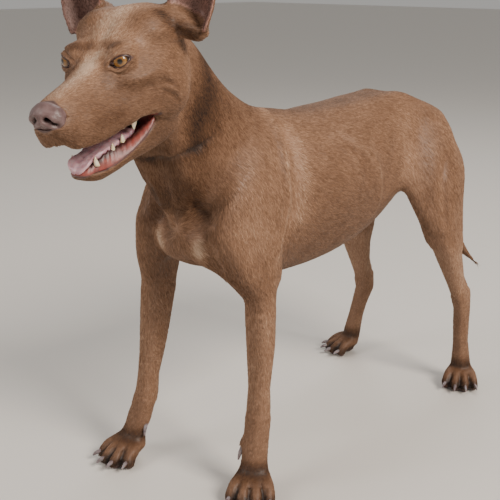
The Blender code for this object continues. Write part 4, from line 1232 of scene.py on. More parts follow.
HEAD_TONES = (
    # Forehead, paler: partly its own paler hair, partly painted light on the top of the head.
    (((0.0, -0.028, 0.018), (0.001, -0.004, 0.034), (0.001, 0.012, 0.047), (0.004, 0.03, 0.055)), 0.55, 0.023),
    # Bridge of the muzzle, paler: partly its own paler hair, partly painted light on its top.
    (((0.0, -0.03, 0.0), (0.0, -0.085, -0.03)), 0.42, 0.012),
    # Side of the muzzle.
    (((0.018, -0.06, -0.045), (0.025, -0.04, -0.048), (0.03, -0.02, -0.045)), -0.2, 0.012),
    # Brow, dark: partly its own dark hair, partly painted shade in the hollow at its inner end.
    (((0.0089, -0.0021, 0.0126), (0.015, -0.008, 0.014), (0.023, -0.009, 0.016)), -1.1, 0.0068),
    # Tear line.
    (((0.013, -0.015, -0.002), (0.016, -0.018, -0.008)), -0.75, 0.0052),
    # Its lower end.
    (((0.017, -0.025, -0.011), (0.02, -0.029, -0.017)), -0.45, 0.006),
    # Skin under the eye.
    (((0.024, -0.022, -0.013), (0.034, -0.018, -0.02)), -0.35, 0.007),
    # Dent of the cheek, darker: painted shade in the dent.
    (((0.044, 0.0, -0.021), (0.052, 0.01, -0.026)), -0.3, 0.0046),
    # Place under the cheek bone, darker: painted shade under it.
    (((0.03, -0.033, -0.029), (0.042, -0.018, -0.033)), -0.15, 0.005),
    # Upper lip.
    (((0.025, -0.055, -0.055), (0.033, -0.025, -0.05)), -0.25, 0.01),
    # Its edge.
    (((0.018, -0.08, -0.06), (0.028, -0.048, -0.069), (0.033, -0.01, -0.062)), -0.35, 0.006),
    # Temple.
    (((0.04, 0.005, 0.015), (0.052, 0.03, 0.01)), 0.3, 0.012),
    # Place before the ear's root.
    (((0.03, 0.025, 0.042), (0.042, 0.045, 0.038)), -0.35, 0.01),
    # Wrinkle of the cheek, darker: painted shade in the wrinkle.
    (UPPER_WRINKLE, -0.5, 0.0026),
    # Next wrinkle, darker: painted shade in the wrinkle.
    (LOWER_WRINKLE, -0.5, 0.0026),
    # Angle of the jaw.
    (((0.045, 0.026, -0.07), (0.04, 0.045, -0.085), (0.025, 0.06, -0.09)), -0.3, 0.015),
    # Fold before the ear, darker: painted shade in the fold.
    (((0.044, 0.046, 0.038), (0.055, 0.05, 0.029), (0.062, 0.0565, 0.0195), (0.07, 0.064, 0.015)), -0.85, 0.0075),
    # Pit of the ear, darker: painted shade in the pit.
    (((0.069, 0.064, 0.0235), (0.075, 0.07, 0.023)), -0.6, 0.005),
)


@dataclass
class Coat:
    """Short hair in fine four-sided tufts that lie on the skin along the lie of the coat."""

    skin: Skin
    tufts_each: int = 48_000
    lift: float = 0.00085
    full_length: float = 0.0095
    sunk: float = 0.0003
    stray: float = 0.16
    tilt: float = 0.10
    patch: float = 0.003
    margin: float = 0.02
    seed: int = 20
    length: np.ndarray = None
    width: np.ndarray = None
    normals: np.ndarray = None

    def groups(self) -> dict[str, np.ndarray]:
        """The pieces of the coat.

        Returns:
            For each piece, which of the skin's triangles it grows on.
        """
        skin = self.skin
        first = skin.surface.faces[:, 0]
        middles = skin.surface.points[skin.surface.faces].mean(1)
        on_left = middles[:, 0] > centre_of("trunk").x
        head_left = skin.head.into(middles)[:, 0] > 0
        head = skin.member("head", "jaw", "ear")[first] > 0
        trunk = skin.member("trunk")[first] > 0
        return {
            "head_left": head & head_left, "head_right": head & ~head_left,
            "neck": skin.member("neck")[first] > 0,
            "trunk_left": trunk & on_left, "trunk_right": trunk & ~on_left,
            "forelegs": skin.member("upper_fore", "lower_fore", "forepaw")[first] > 0,
            "hindlegs": skin.member("thigh", "lower_hind", "hindpaw", "tail")[first] > 0,
        }

    def roots(self, chosen: np.ndarray, chance: np.random.Generator) -> tuple[np.ndarray, np.ndarray]:
        """Places spread evenly over the chosen triangles.

        Args:
            chosen: for each triangle of the skin, whether hair grows there.
            chance: source of random numbers.

        Returns:
            For each place, its triangle's corners and their weights.
        """
        faces = self.skin.surface.faces[chosen]
        corners = self.skin.surface.points[faces]
        area = np.linalg.norm(np.cross(corners[:, 1] - corners[:, 0], corners[:, 2] - corners[:, 0]), axis=1)
        area *= self.skin.hair[faces].mean(1) ** 0.5 / self.width[faces].mean(1)
        total = np.cumsum(area)
        steps = (np.arange(self.tufts_each) + chance.random(self.tufts_each)) / self.tufts_each * total[-1]
        found = np.minimum(np.searchsorted(total, steps), len(faces) - 1)
        one, two = chance.random((2, self.tufts_each))
        over = one + two > 1
        one[over], two[over] = 1 - one[over], 1 - two[over]
        return faces[found], np.stack([one, two, 1 - one - two], axis=1)

    def piece(self, name: str, chosen: np.ndarray, material: Material) -> Object:
        """One piece of coat.

        Args:
            name: of the group.
            chosen: the skin's triangles that it grows on.
            material: of the hair.

        Returns:
            The piece.
        """
        chance = np.random.default_rng(self.seed + len(name) * 7 + ord(name[-1]))
        corners, weights = self.roots(chosen, chance)

        def at(values: np.ndarray) -> np.ndarray:
            """The skin's values at the roots."""
            return np.einsum("ij...,ij->i...", values[corners], weights)

        hair = at(self.skin.hair)
        keep = (hair > 0.25) & (chance.random(len(hair)) < hair * 1.5)
        corners, weights, hair = corners[keep], weights[keep], hair[keep]
        count = len(hair)
        root = at(self.skin.surface.points)
        out = at(self.normals)
        out /= np.linalg.norm(out, axis=1)[:, None]
        way = at(self.skin.flow)
        way = way + np.cross(out, way) * chance.normal(0, self.stray, count)[:, None]
        way -= out * (way * out).sum(1)[:, None]
        way /= np.linalg.norm(way, axis=1)[:, None]
        side = np.cross(out, way)
        long = (at(self.length) * chance.uniform(0.7, 1.2, count) * (0.45 + 0.55 * hair))[:, None]
        wide = (at(self.width) * chance.uniform(0.75, 1.25, count))[:, None]
        lift = self.lift * (0.35 + 0.65 * at(self.length) / self.full_length) * chance.uniform(0.6, 1.3, count)
        rise = out * lift[:, None]
        points = np.stack([
            root - side * wide / 2 - out * self.sunk,
            root + side * wide / 2 - out * self.sunk,
            root + way * long * 0.35 + rise,
            root + way * long + rise * 0.75 + side * wide * chance.normal(0, 0.4, count)[:, None],
        ], axis=1).reshape(-1, 3)
        start = np.arange(count)[:, None, None] * 4
        faces = (start + np.array(((1, 0, 2), (0, 3, 2), (1, 2, 3), (1, 3, 0)))[None]).reshape(-1, 3)
        made = linked(f"coat_{name}", mesh_of(f"coat_{name}", points, faces))
        tilt = chance.normal(0, self.tilt, count)[:, None] * side + chance.normal(0, self.tilt, count)[:, None] * way
        looks = np.stack([out - 0.35 * side, out + 0.35 * side, out, out + 0.2 * way], axis=1) + tilt[:, None]
        looks /= np.linalg.norm(looks, axis=2)[:, :, None]
        smooth_shaded(made)
        custom = made.data.attributes.new("custom_normal", "FLOAT_VECTOR", "POINT")
        custom.data.foreach_set("vector", looks.astype(np.float32).ravel())
        for value in ("tone", "bare", "mouth", "lip", "lining"):
            write_value(made, value, np.repeat(at(self.skin.values[value]), 4))
        write_value(made, "strand", np.repeat(chance.random(count), 4))
        write_value(made, "along", np.tile((0.0, 0.0, 0.45, 1.0), count))
        self.lay_out(made, root, self.skin.part[corners[:, 0]])
        made.data.materials.append(material)
        return made

    def lay_out(self, made: Object, root: np.ndarray, part: np.ndarray) -> None:
        """The map OFBake: each tuft a small patch at its root's place on an unwrap of the skin, part by part.

        Args:
            made: the piece of coat.
            root: each tuft's root.
            part: the number in FLESH that each tuft belongs to.
        """
        numbers = np.unique(part)
        columns = math.ceil(math.sqrt(len(numbers)))
        place = np.zeros((len(root), 2))
        for k, number in enumerate(numbers):
            chosen = part == number
            rel = root[chosen] - root[chosen].mean(0)
            axes = np.linalg.svd(rel[:: max(1, len(rel) // 2000)], full_matrices=False)[2]
            along, one, two = rel @ axes[0], rel @ axes[1], rel @ axes[2]
            u = np.arctan2(two / (two.std() + 1e-9), one / (one.std() + 1e-9)) / (2 * math.pi) + 0.5
            v = (along - along.min()) / (np.ptp(along) + 1e-9)
            within = self.margin + (1 - 2 * self.margin) * np.stack([u, v], axis=1)
            place[chosen] = (within + (k % columns, k // columns)) / columns
        patch = np.array(((-0.5, -0.5), (0.5, -0.5), (0.0, 0.1), (0.0, 0.5))) * self.patch
        corners = (place[:, None] + patch[None]).reshape(-1, 2)
        layer = made.data.uv_layers.new(name="OFBake")
        order = np.empty(len(made.data.loops), np.int32)
        made.data.loops.foreach_get("vertex_index", order)
        layer.data.foreach_set("uv", corners[order].astype(np.float32).ravel())

    def build(self, material: Material) -> None:
        """Makes every piece of the coat.

        Args:
            material: of the hair.
        """
        self.length = self.skin.field(LENGTHS, 14)
        self.width = self.skin.field(WIDTHS, 14)
        self.normals = self.skin.surface.normals()
        for name, chosen in self.groups().items():
            made = self.piece(name, chosen, material)
            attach(made, "root")
            LOG.info("coat %s: %d triangles", name, len(made.data.polygons))


# ---------------- eyes

@dataclass
class Eyes:
    """Two eyeballs, each with a dark moist rim round the opening of its lids."""

    head: HeadFrame
    radius: float = 0.0104
    yaw: float = 28
    half_width: float = 0.0096
    half_up: float = 0.0049
    half_down: float = 0.0056
    slant: float = -0.24
    pinch: float = 0.55
    widest: float = 0.93
    rim: float = 0.00058
    corner_place: tuple = (0.0080, -0.0018)
    corner_size: tuple = (0.0026, 0.0019, 0.0022)

    @staticmethod
    def place(sign: int) -> np.ndarray:
        """The middle of an eyeball, in the head's frame."""
        return np.array(((HALF_BETWEEN_EYES + 0.0008) * sign, -0.0070, 0.0008))

    @classmethod
    def axes(cls, sign: int) -> tuple[np.ndarray, np.ndarray, np.ndarray]:
        """An eye's own directions.

        Args:
            sign: of the side.

        Returns:
            The directions it looks in, across its opening towards the nose, and up.
        """
        turn = math.radians(cls.yaw)
        gaze = np.array((math.sin(turn) * sign, -math.cos(turn), 0.0))
        across = np.array((-math.cos(turn) * sign, -math.sin(turn), 0.0))
        return gaze, across, np.array((0.0, 0.0, 1.0))

    @classmethod
    def opening_share(cls, x: np.ndarray, y: np.ndarray) -> np.ndarray:
        """How far out a place is, as a share of the way to the lids' edge.

        Args:
            x: distances towards the nose.
            y: heights.

        Returns:
            Shares, 1 on the edge.
        """
        lean = y - cls.slant * x
        tall = np.where(lean > 0, cls.half_up, cls.half_down)
        out = (x / cls.half_width) ** 2
        return np.sqrt(out + (lean / tall) ** 2 * (1 + cls.pinch * out))

    @classmethod
    def edge(cls, count: int) -> np.ndarray:
        """Places along the lids' edge.

        Args:
            count: how many.

        Returns:
            A row for each, x towards the nose and y up.
        """
        turn = turn_of(count)
        tall = np.where(np.sin(turn) > 0, cls.half_up, cls.half_down)
        x = cls.half_width * np.cos(turn)
        y = tall * np.sin(turn) / np.sqrt(1 + cls.pinch * np.cos(turn) ** 2) + cls.slant * x
        return np.stack([x, y], axis=1)

    def ball(self, side: Side) -> Object:
        """One eyeball with its clear front bulging.

        Args:
            side: which eye.

        Returns:
            The piece.
        """
        made, points = unit_ball(f"eyeball_{side.name}", 64, 48)
        gaze, across, up = self.axes(side.value)
        front = points[:, 2]
        bulge = 1 + 0.085 * smoothstep(front, 0.62, 0.97)
        local = (points[:, :1] * across + points[:, 1:2] * up + points[:, 2:] * gaze) * bulge[:, None]
        move_points(made, self.head.out(local * self.radius + self.place(side.value)))
        write_value(made, "off_axis", np.degrees(np.arccos(np.clip(front, -1, 1))) / 90)
        write_value(made, "around", np.degrees(np.arctan2(points[:, 1], points[:, 0])) / 180)
        return made

    def lid_rim(self, side: Side) -> Object:
        """The hairless edge of the lids, a soft tube that lies on the eyeball.

        Args:
            side: which eye.

        Returns:
            The piece.
        """
        gaze, across, up = self.axes(side.value)
        middle = self.place(side.value)
        count, sides = 72, 10
        edge = self.edge(count)
        flat = np.minimum(np.hypot(*edge.T), self.widest * self.radius)
        deep = np.sqrt((self.radius + 0.0006) ** 2 - flat**2)
        centres = middle + edge[:, :1] * across + edge[:, 1:] * up + deep[:, None] * gaze
        turn = turn_of(sides)
        rings = []
        for k, (x, y) in enumerate(edge):
            ahead = centres[(k + 1) % count] - centres[k - 1]
            ahead /= np.linalg.norm(ahead)
            out = centres[k] - middle
            out /= np.linalg.norm(out)
            thick = self.rim + 0.0006 * smoothstep(np.abs(x / self.half_width), 0.6, 1.0)
            thick += 0.0003 * smoothstep(y, 0.0, 0.004)
            around = np.cos(turn)[:, None] * out * 0.8 + np.sin(turn)[:, None] * np.cross(ahead, out) * 1.25
            rings.append(centres[k] + thick * around)
        faces = [(r * sides + k, r * sides + (k + 1) % sides, ((r + 1) % count) * sides + (k + 1) % sides,
                  ((r + 1) % count) * sides + k) for r in range(count) for k in range(sides)]
        return object_from(f"lid_rim_{side.name}", self.head.out(np.concatenate(rings)), faces)

    def corner(self, side: Side) -> Object:
        """The moist lump in the inner corner.

        Args:
            side: which eye.

        Returns:
            The piece.
        """
        gaze, across, up = self.axes(side.value)
        made, points = unit_ball(f"eye_corner_{side.name}", 24, 16)
        x, y = self.corner_place
        deep = math.sqrt((self.radius * 1.02) ** 2 - x * x - y * y)
        local = points * self.corner_size @ np.stack([across, up, gaze])
        move_points(made, self.head.out(local + self.place(side.value) + x * across + y * up + deep * gaze))
        return made

    def build(self) -> None:
        """Makes both eyes."""
        for side in Side:
            ball = finished(self.ball(side), WET_EYE.material())
            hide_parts(f"eye_{side.name}")
            finished(self.lid_rim(side), LID_RIM.material())
            finished(self.corner(side), LID_RIM.material())
            LOG.info("eye %s: ball, rim and corner", side.name)


# ---------------- mouth

# Edge of the upper lip and of the lower lip on either side, in the head's frame: y, z.
UPPER_LIP = ((-0.11, -0.074), (-0.0687, -0.074), (-0.0607, -0.0733), (-0.0492, -0.0718), (-0.0308, -0.069),
             (-0.0097, -0.0635), (0.0108, -0.0576), (0.021, -0.0575))
LOWER_LIP = ((0.0262, -0.063), (0.0255, -0.0675), (0.022, -0.0713), (0.0094, -0.08), (-0.003, -0.0887),
             (-0.0148, -0.095), (-0.0261, -0.0992), (-0.0369, -0.1018), (-0.0575, -0.102), (-0.11, -0.102))
# The tongue from back to front: y, z, half its width, half its depth.
TONGUE = ((0.016, -0.0775, 0.0195, 0.006), (-0.006, -0.0835, 0.018, 0.0062), (-0.026, -0.0885, 0.0145, 0.0056),
          (-0.038, -0.091, 0.0112, 0.005), (-0.046, -0.0918, 0.0115, 0.0044), (-0.053, -0.0938, 0.013, 0.004),
          (-0.058, -0.0965, 0.0118, 0.0036), (-0.061, -0.099, 0.009, 0.003), (-0.0622, -0.1004, 0.0042, 0.002))
# The band inside the lower lip, from the front to the corner: its lower edge, then its upper edge.
LOWER_GUM = ((0.0, -0.0625, -0.104, 0.0, -0.0575, -0.0975), (0.0085, -0.058, -0.105, 0.007, -0.053, -0.0965),
             (0.0135, -0.048, -0.1055, 0.0112, -0.044, -0.0935), (0.017, -0.0369, -0.1045, 0.014, -0.0303, -0.0875),
             (0.0215, -0.0261, -0.1009, 0.0165, -0.02, -0.085), (0.0265, -0.0148, -0.0953, 0.02, -0.009, -0.082),
             (0.0315, -0.003, -0.0887, 0.025, 0.004, -0.0765), (0.036, 0.0094, -0.08, 0.03, 0.0136, -0.07),
             (0.0395, 0.019, -0.0715, 0.035, 0.0217, -0.064), (0.04, 0.025, -0.065, 0.037, 0.0262, -0.0605))
# Each tooth's base, tip, half width and half length, and the bow of its middle, in the head's frame.
TEETH = (
    ("canine", (0.0138, -0.0445, -0.097), (0.0142, -0.047, -0.0865), (0.0027, 0.0032), 0.0008),
    ("small", (0.0165, -0.02, -0.088), (0.0172, -0.0205, -0.0795), (0.002, 0.0034), 0.0),
    ("middle", (0.0195, -0.006, -0.084), (0.02, -0.007, -0.0735), (0.0024, 0.0042), 0.0),
    ("carnassial", (0.027, 0.0075, -0.058), (0.0262, 0.006, -0.0715), (0.0026, 0.0056), 0.0),
    ("upper_small", (0.024, -0.006, -0.06), (0.0236, -0.0065, -0.068), (0.0022, 0.004), 0.0),
)
# How thick a tooth still is at each share of its height.
TOOTH_STEPS = (0.0, 0.15, 0.35, 0.55, 0.75, 0.88, 0.96, 1.0)


@dataclass
class Mouth:
    """The open mouth: its hollow, the inner lip, the tongue and the teeth."""

    head: HeadFrame
    half_head: float = 0.08
    # y, half width, palate, floor
    rows: tuple = (
        (-0.0640, 0.0060, -0.0690, -0.0990), (-0.0580, 0.0120, -0.0640, -0.1040), (-0.0450, 0.0165, -0.0590, -0.1060),
        (-0.0250, 0.0230, -0.0550, -0.1030), (-0.0050, 0.0290, -0.0500, -0.0960), (0.0130, 0.0340, -0.0460, -0.0870),
        (0.0260, 0.0330, -0.0480, -0.0780), (0.0350, 0.0200, -0.0540, -0.0700))

    def cutter(self, name: str, points: np.ndarray, faces: list) -> Object:
        """A closed object that cuts others.

        Args:
            name: of the object.
            points: its points, in the head's frame.
            faces: rows of point numbers.

        Returns:
            The object, with its faces turned outwards.
        """
        made = object_from(name, self.head.out(points), faces)
        recalculated(made)
        return made

    def between_lips(self) -> Object:
        """A wedge as wide as the head that fills the gap between the lips.

        Returns:
            The wedge.
        """
        line = UPPER_LIP + LOWER_LIP
        count = len(line)
        points = [(x, y, z) for x in (-self.half_head, self.half_head) for y, z in line]
        faces = [tuple(reversed(range(count))), tuple(range(count, 2 * count))]
        faces += [(k, (k + 1) % count, (k + 1) % count + count, k + count) for k in range(count)]
        return self.cutter("gape", points, faces)

    def hollow(self) -> Object:
        """The rounded hollow behind the lips, from the front teeth to the corner of the mouth.

        Returns:
            The solid that fills it.
        """
        turn = turn_of(16)
        rings = []
        for y, wide, top, low in curve_points(self.rows, 2):
            z = (top + low) / 2 + (top - low) / 2 * rounded(np.sin(turn), 0.7)
            rings.append(np.stack([wide * rounded(np.cos(turn), 0.7), np.full(16, y), z], axis=1))
        return self.cutter("hollow", *lofted(rings))

    def tongue(self) -> Object:
        """A broad flat tongue with a groove, its edges curled up, that lies out over the front of the jaw.

        Returns:
            The piece.
        """
        turn = turn_of(40)
        upper = np.sin(turn) > 0
        across = rounded(np.cos(turn), 0.85)
        rings = []
        for y, z, wide, thick in curve_points(TONGUE, 5):
            lift = thick * rounded(np.sin(turn), 0.8)
            curl = (0.0030 + 0.0012 * (across < 0)) * across**4 * min(1.0, wide / 0.010)
            groove = -0.0016 * bell(across, 0.16) * upper
            ripple = 0.00025 * np.sin(across * 9 + y * 700) * upper
            rings.append(np.stack([wide * across, np.full(40, y), z + lift + curl + groove + ripple], axis=1))
        points, faces = lofted(rings)
        return object_from("tongue_flesh", self.head.out(points), faces)

    def lower_gum(self) -> Object:
        """The moist inner side of the lower lip, one band round the jaw with an uneven top.

        Returns:
            The piece, which says how far up the band each point is.
        """
        line = curve_points(LOWER_GUM, 6)
        path = np.vstack([line[::-1], (line * (-1, 1, 1, -1, 1, 1))[1:]])
        turn = turn_of(20)
        rings = []
        for k, row in enumerate(path):
            low, high = row[:3], row[3:]
            high = high + (0, 0, 0.0006 * math.sin(k * 1.9) + 0.0004 * math.sin(k * 4.3))
            middle, half = (low + high) / 2, (high - low) / 2
            ahead = path[min(k + 1, len(path) - 1)][:3] - path[max(k - 1, 0)][:3]
            out = np.cross(half, ahead)
            out /= np.linalg.norm(out)
            out *= 1 if out @ (middle * (1, 1, 0) - (0, 0.02, 0)) > 0 else -1
            rings.append(middle + np.cos(turn)[:, None] * out * 0.0018 + np.sin(turn)[:, None] * half * 1.04)
        points, faces = lofted(rings)
        made = object_from("lower_gum", self.head.out(points), faces)
        write_value(made, "rise", np.tile(0.5 + 0.5 * np.sin(turn), len(path)))
        return made

    def tooth(self, name: str, base: np.ndarray, tip: np.ndarray, size: tuple, bend: float) -> Object:
        """One tooth: a rounded cone from its base in the gum to its tip.

        Args:
            name: of the piece.
            base: middle of its base, in the head's frame.
            tip: its point.
            size: half its width across the jaw and along it, at the base.
            bend: how far its middle bows forwards.

        Returns:
            The piece.
        """
        turn = turn_of(16)
        rings = []
        for t in TOOTH_STEPS:
            share = (1 - t**1.6) ** 0.75 if t < 1 else 0.06
            middle = base + (tip - base) * t + np.array((0, -bend * math.sin(math.pi * t), 0))
            ring = np.stack([size[0] * np.cos(turn), size[1] * np.sin(turn), 0 * turn], axis=1)
            rings.append(middle + share * ring)
        points, faces = lofted(rings)
        return object_from(name, self.head.out(points), faces)

    def build(self) -> None:
        """Makes tongue, gum and teeth."""
        tongue = finished(self.tongue(), WET_TONGUE.material())
        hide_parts("tongue")
        finished(self.lower_gum(), INNER_LIP.material())
        for side in Side:
            for name, base, tip, size, bend in TEETH:
                base, tip = (np.array(place) * (side.value, 1, 1) for place in (base, tip))
                tooth = self.tooth(f"tooth_{name}_{side.name}", base, tip, size, bend)
                finished(tooth, TOOTH_ENAMEL.material())
        LOG.info("mouth: tongue, gum and %d teeth", 2 * len(TEETH))


# ---------------- nose

# Lines on one half of the nose, in the head's frame: line, height, width. Those deeper than 2 mm are the nostril.
NOSE_LINES = (
    # Nostril.
    (((0.007, -0.1035, -0.039), (0.0095, -0.103, -0.0412), (0.012, -0.1005, -0.044),
      (0.015, -0.097, -0.0458)), -0.005, 0.0021),
    # Its round front.
    (((0.0066, -0.103, -0.0398), (0.0092, -0.1025, -0.0415)), -0.0045, 0.003),
    # Its lower edge.
    (((0.005, -0.103, -0.043), (0.008, -0.101, -0.0465), (0.012, -0.098, -0.049)), 0.0009, 0.0022),
    # Wing over it.
    (((0.006, -0.103, -0.035), (0.011, -0.101, -0.037), (0.016, -0.096, -0.041),
      (0.018, -0.092, -0.044)), 0.001, 0.0024),
    # Groove down the middle.
    (((0.0, -0.1045, -0.036), (0.0, -0.103, -0.043), (0.0, -0.099, -0.05)), -0.0006, 0.001),
)


@dataclass
class Nose:
    """The nose's bare leather, with its nostrils."""

    head: HeadFrame
    voxel: float = 0.0006
    nostril_depth: float = 0.002

    def melted_copy(self) -> Object:
        """A copy of the nose's solid, melted into fine even faces.

        Returns:
            The copy, with no material.
        """
        made = frame["nodes"]["nose"].copy()
        made.data = made.data.copy()
        made.name = "nose_leather"
        bpy.context.scene.collection.objects.link(made)
        shape = bmesh.new()
        shape.from_mesh(made.data)
        bmesh.ops.remove_doubles(shape, verts=shape.verts[:], dist=1e-6)
        shape.to_mesh(made.data)
        shape.free()
        made.data.materials.clear()
        melt(made, self.voxel)
        return made

    def build(self) -> None:
        """Shapes the nose from the solid's own form, grown to meet the skin round it."""
        made = self.melted_copy()
        surface = Surface.of(made)
        surface.soften(14, 0.5)
        behind = smoothstep(self.head.into(surface.points)[:, 1], -0.100, -0.092)
        surface.swell(0.0003 + 0.0012 * behind)
        height = np.zeros(len(surface.points))
        # pit: where the nostrils are, which the finish paints near-black as painted shade.
        pit = np.zeros(len(surface.points))
        for sign in SIGNS:
            local = self.head.into(surface.points) * (sign, 1, 1)
            for line, high, wide in NOSE_LINES:
                near = bell(to_line(local, curve_points(line, 6))[0], wide)
                height += high * near
                if high < -self.nostril_depth:
                    pit = np.maximum(pit, near)
        surface.swell(height)
        surface.soften(2, 0.3)
        made.data = mesh_of("nose_leather", surface.points, surface.faces)
        write_value(made, "pit", pit)
        finished(made, NOSE_LEATHER.material())
        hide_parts("nose")
        LOG.info("nose: %d triangles", len(made.data.polygons))


# ---------------- the room

@dataclass(frozen=True)
class Studio:
    """A plain pale room with soft light, and the camera."""

    lens: float = 66.54
    azimuth: float = 45.093
    elevation: float = 16.696
    from_near_eye: tuple = (0.7530, -0.5681, 0.0834)
    floor_size: float = 30.0
    surroundings: float = 0.50
    # Name, place, aim, size, watts and tint.
    lamps: tuple = (
        ("key", (2.7, 0.0, 2.3), (0, 0.0, 0.35), 1.2, 124, "fff4e8"),
        ("fill", (-0.9, -2.9, 2.3), (0, -0.1, 0.45), 1.6, 42, "fff6ee"),
        ("rim", (-0.8, 1.6, 2.6), (0, 0.0, 0.4), 1.4, 22, "ffffff"),
    )

    def camera(self) -> None:
        """Puts the camera in front of the dog's left shoulder, at about the height of its eyes."""
        view = bpy.data.cameras.new("camera")
        view.lens = self.lens
        view.sensor_width = 36
        view.clip_start = 0.05
        made = linked("camera", view)
        made.location = centre_of("eye_left") + Vector(self.from_near_eye)
        made.rotation_euler = (math.radians(90 - self.elevation), 0, math.radians(self.azimuth))
        bpy.context.scene.camera = made

    def lamp(self, name: str, place: tuple, aim: tuple, size: float, power: float, tint: str) -> None:
        """One soft square lamp.

        Args:
            name: of the lamp.
            place: of its middle.
            aim: the point that it faces.
            size: of its side.
            power: in watts.
            tint: hex colour of its light.
        """
        light = bpy.data.lights.new(name, "AREA")
        light.size = size
        light.energy = power
        light.color = linear(tint)[:3]
        made = linked(name, light)
        made.location = place
        made.rotation_euler = (Vector(aim) - Vector(place)).to_track_quat("-Z", "Y").to_euler()

    def room(self) -> None:
        """The floor, the lamps and the pale surroundings."""
        deselect_all()
        bpy.ops.mesh.primitive_plane_add(size=self.floor_size, location=(0, 0, 0))
        floor = bpy.context.object
        floor.name = "floor"
        floor.data.materials.append(PAPER.material())
        world = bpy.data.worlds.new("room")
        world.use_nodes = True
        world.node_tree.nodes["Background"].inputs["Color"].default_value = linear("e6e3df")
        world.node_tree.nodes["Background"].inputs["Strength"].default_value = self.surroundings
        bpy.context.scene.world = world
        for lamp in self.lamps:
            self.lamp(*lamp)


# ---------------- finishes

def grain_of(tree: NodeTree, scale: float, detail: float) -> NodeSocket:
    """Soft noise in the piece's own coordinates.

    Args:
        tree: the material's nodes.
        scale: patches for each metre.
        detail: how much finer noise lies on it.

    Returns:
        Its value, between 0 and 1.
    """
    place = add_node(tree, "ShaderNodeTexCoord")
    noise = add_node(tree, "ShaderNodeTexNoise", {}, {"Vector": place.outputs["Object"]}, Scale=scale, Detail=detail)
    return noise.outputs["Fac"]


def value_of(tree: NodeTree, name: str) -> NodeSocket:
    """A value that the piece carries, by its name."""
    return add_node(tree, "ShaderNodeAttribute", {"attribute_name": name}).outputs["Fac"]


def ramp_over(tree: NodeTree, value: NodeSocket, stops: tuple) -> NodeSocket:
    """A ramp of colours over a value.

    Args:
        tree: the material's nodes.
        value: what the ramp reads.
        stops: pairs of place and hex colour, in order.

    Returns:
        The colour.
    """
    ramp = add_node(tree, "ShaderNodeValToRGB", {}, {"Fac": value})
    parts = ramp.color_ramp.elements
    while len(parts) < len(stops):
        parts.new(1.0)
    for part, (place, colour) in zip(parts, stops):
        part.position = place
        part.color = linear(colour)
    return ramp.outputs["Color"]


def laid_over(tree: NodeTree, under: NodeSocket, colour: str, name: str,
              low: float, high: float) -> NodeSocket:
    """Lays one plain colour over another by a value that the piece carries.

    Args:
        tree: the material's nodes.
        under: the colour that it covers.
        colour: hex of the upper one.
        name: of the piece's value.
        low: the value at which the upper colour starts.
        high: the value at which it covers all.

    Returns:
        The mixed colour.
    """
    step = add_node(tree, "ShaderNodeMapRange", {"interpolation_type": "SMOOTHSTEP"}, {"Value": value_of(tree, name)})
    step.inputs["From Min"].default_value = low
    step.inputs["From Max"].default_value = high
    mixed = add_node(tree, "ShaderNodeMix", {"data_type": "RGBA"}, {"Factor": step.outputs["Result"]})
    tree.links.new(under, mixed.inputs["A"])
    mixed.inputs["B"].default_value = linear(colour)
    return mixed.outputs["Result"]


def roughened(tree: NodeTree, surface: Node, height: NodeSocket, strength: float,
              depth: float, sunk: bool = False) -> None:
    """Gives a surface a fine relief.

    Args:
        tree: the material's nodes.
        surface: the node that shades it.
        height: of the relief.
        strength: share of its effect.
        depth: of the relief, in metres.
        sunk: whether high values lie deep.
    """
    bump = add_node(tree, "ShaderNodeBump", {"invert": sunk}, {"Height": height}, Strength=strength, Distance=depth)
    tree.links.new(bump.outputs["Normal"], surface.inputs["Normal"])


@dataclass(frozen=True)
class Finish:
    """A procedural finish, whose one material is made when it is first asked for.

    It holds the real material's name, the surface's own settings, and the plain colours laid over its own colour:
    for each the hex, the piece's value that shows it, and the values where it starts and where it covers all.
    """

    name: str
    settings: tuple = ()
    overlays: tuple = ()

    def material(self) -> Material:
        """The finish's one material."""
        return bpy.data.materials.get(self.name) or self.made()

    def made(self) -> Material:
        """Makes the material.

        Returns:
            The material.
        """
        material, tree, surface = new_material(self.name)
        colour = self.colour(tree)
        for overlay in self.overlays:
            colour = laid_over(tree, colour, *overlay)
        tree.links.new(colour, surface.inputs["Base Color"])
        self.relief(tree, surface)
        for name, value in self.settings:
            surface.inputs[name].default_value = value
        return material

    def colour(self, tree: NodeTree) -> NodeSocket:
        """The colour under the overlays."""
        raise NotImplementedError

    def relief(self, tree: NodeTree, surface: Node) -> None:
        """Leaves the surface smooth."""


@dataclass(frozen=True)
class Plain(Finish):
    """One even colour, which keeps the eye on the dog."""

    tint: str = "ffffff"

    def colour(self, tree: NodeTree) -> NodeSocket:
        """The one colour.

        Args:
            tree: the material's nodes.

        Returns:
            The colour.
        """
        even = add_node(tree, "ShaderNodeRGB")
        even.outputs["Color"].default_value = linear(self.tint)
        return even.outputs["Color"]


